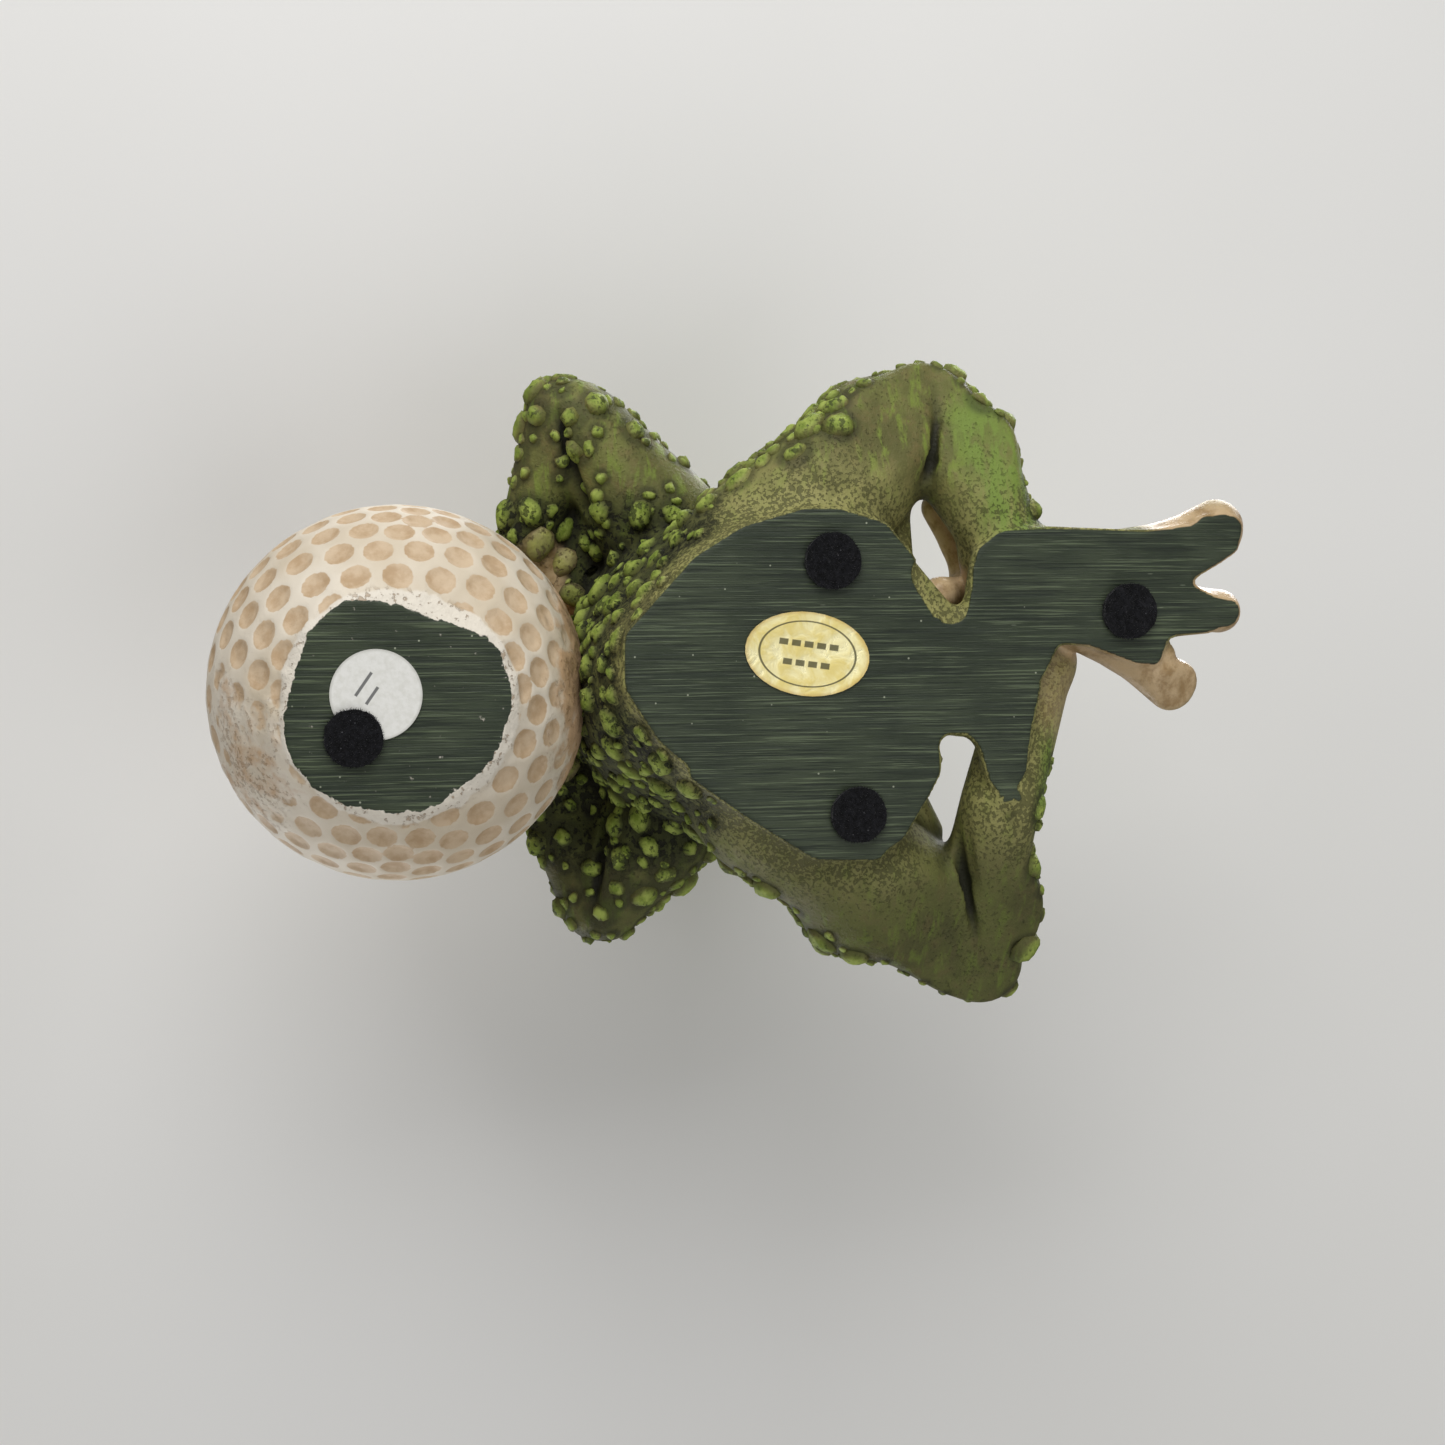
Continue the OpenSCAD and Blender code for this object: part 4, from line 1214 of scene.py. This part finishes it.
def makeFeltPads():
    for index, name in enumerate(n for n in nodes if n.startswith("felt_pad")):
        middle, extent = middleOf(name)
        values = dict(felt, Radius=extent.x / 2 - feltShape["clearance"])
        values.update({"Centre x": middle.x, "Centre y": middle.y,
                       "Centre z": middle.z + extent.z / 2 - felt["Thickness"] / 2})
        tree = makeFeltTree(feltShape["firstSeed"] + feltShape["seedStep"] * index)
        mesh = grow(link(bpy.data.meshes.new("felt"), "felt"), tree, values, name + "_felt")
        pad = link(mesh, name + "_felt")
        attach(pad, "root")
        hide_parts(name)


makeFeltPads()
print("felt pads made")

studio = {"floorSize": 0.62, "floorFade": 0.45, "backdropHalf": 0.2, "backdropHeight": 0.0645, "backdropFade": 0.8,
          "backdropMiddle": (0.0088, -0.0086), "pale": "#e8e7e5", "paleShade": "#e3e2df",
          "world": 0.26, "worldColour": (0.9, 0.9, 0.89, 1), "seenColour": (0.72, 0.72, 0.715, 1)}
lamps = {"windowBelow": ((-0.46, 0.10, -0.26), 2.9, 0.45), "fillBelow": ((0.25, -0.2, -0.45), 1.1, 0.5),
         "lampAbove": ((-0.35, -0.35, 0.55), 5.0, 0.45), "fillAbove": ((0.5, 0.3, 0.35), 2.0, 0.5)}
lampTarget = (0, 0, 0.03)  # every lamp is (place, watts, size) and points at the frog


def makeStagePlane(name, height, half, centre, seenFrom, fade):
    mesh = bpy.data.meshes.new(name)
    x, y = centre
    mesh.from_pydata([(x + i * half, y + j * half, height) for i, j in ((-1, -1), (1, -1), (1, 1), (-1, 1))],
                     [], [(0, 1, 2, 3)])
    plane = link(mesh, name)
    material, tree, shader = newMaterial(name, Roughness=0.9, Specular_IOR_Level=0.1)
    place = node(tree, "ShaderNodeTexCoord").outputs["Object"]
    mottle = step(tree, noise(tree, place, 6.0, 3.0), 0.3, 0.7)
    tree.links.new(blendColour(tree, mottle, studio["pale"], studio["paleShade"]), shader.inputs["Base Color"])
    away = vector(tree, "LENGTH", vector(tree, "SUBTRACT", place, (x, y, height)))
    faded = step(tree, away, half * fade, half * 0.99)
    back = node(tree, "ShaderNodeNewGeometry").outputs["Backfacing"]
    wrong = back if seenFrom == "above" else minus(tree, 1.0, back)
    mixed = node(tree, "ShaderNodeMixShader", {0: most(tree, wrong, faded), 1: shader.outputs[0],
                                               2: node(tree, "ShaderNodeBsdfTransparent").outputs[0]})
    tree.links.new(mixed.outputs[0], tree.nodes["Material Output"].inputs["Surface"])
    mesh.materials.append(material)
    plane.visible_shadow = plane.visible_diffuse = plane.visible_glossy = False


def makeLamp(name, place, energy, size):
    lamp = bpy.data.lights.new(name, "AREA")
    lamp.energy, lamp.size = energy, size
    made = bpy.data.objects.new(name, lamp)
    bpy.context.scene.collection.objects.link(made)
    turn = (Vector(lampTarget) - Vector(place)).to_track_quat("-Z", "Y").to_matrix().to_4x4()
    made.matrix_world = Matrix.Translation(place) @ turn


def makeWorld():
    world = bpy.data.worlds.new("studio")
    bpy.context.scene.world = world
    world.use_nodes = True
    tree = world.node_tree
    light = tree.nodes["Background"]
    light.inputs["Color"].default_value = studio["worldColour"]
    light.inputs["Strength"].default_value = studio["world"]
    seen = node(tree, "ShaderNodeBackground", {"Color": studio["seenColour"], "Strength": 1.0})
    direct = node(tree, "ShaderNodeLightPath").outputs["Is Camera Ray"]
    mixed = node(tree, "ShaderNodeMixShader", {0: direct, 1: light.outputs[0], 2: seen.outputs[0]})
    tree.links.new(mixed.outputs[0], tree.nodes["World Output"].inputs["Surface"])


makeStagePlane("floor", 0.0, studio["floorSize"], (0, 0), "above", studio["floorFade"])
makeStagePlane("backdrop", studio["backdropHeight"], studio["backdropHalf"], studio["backdropMiddle"], "below",
               studio["backdropFade"])
for name, (place, energy, size) in lamps.items():
    makeLamp(name, place, energy, size)
bpy.context.scene.view_settings.view_transform = "Standard"
makeWorld()
print("studio lit")
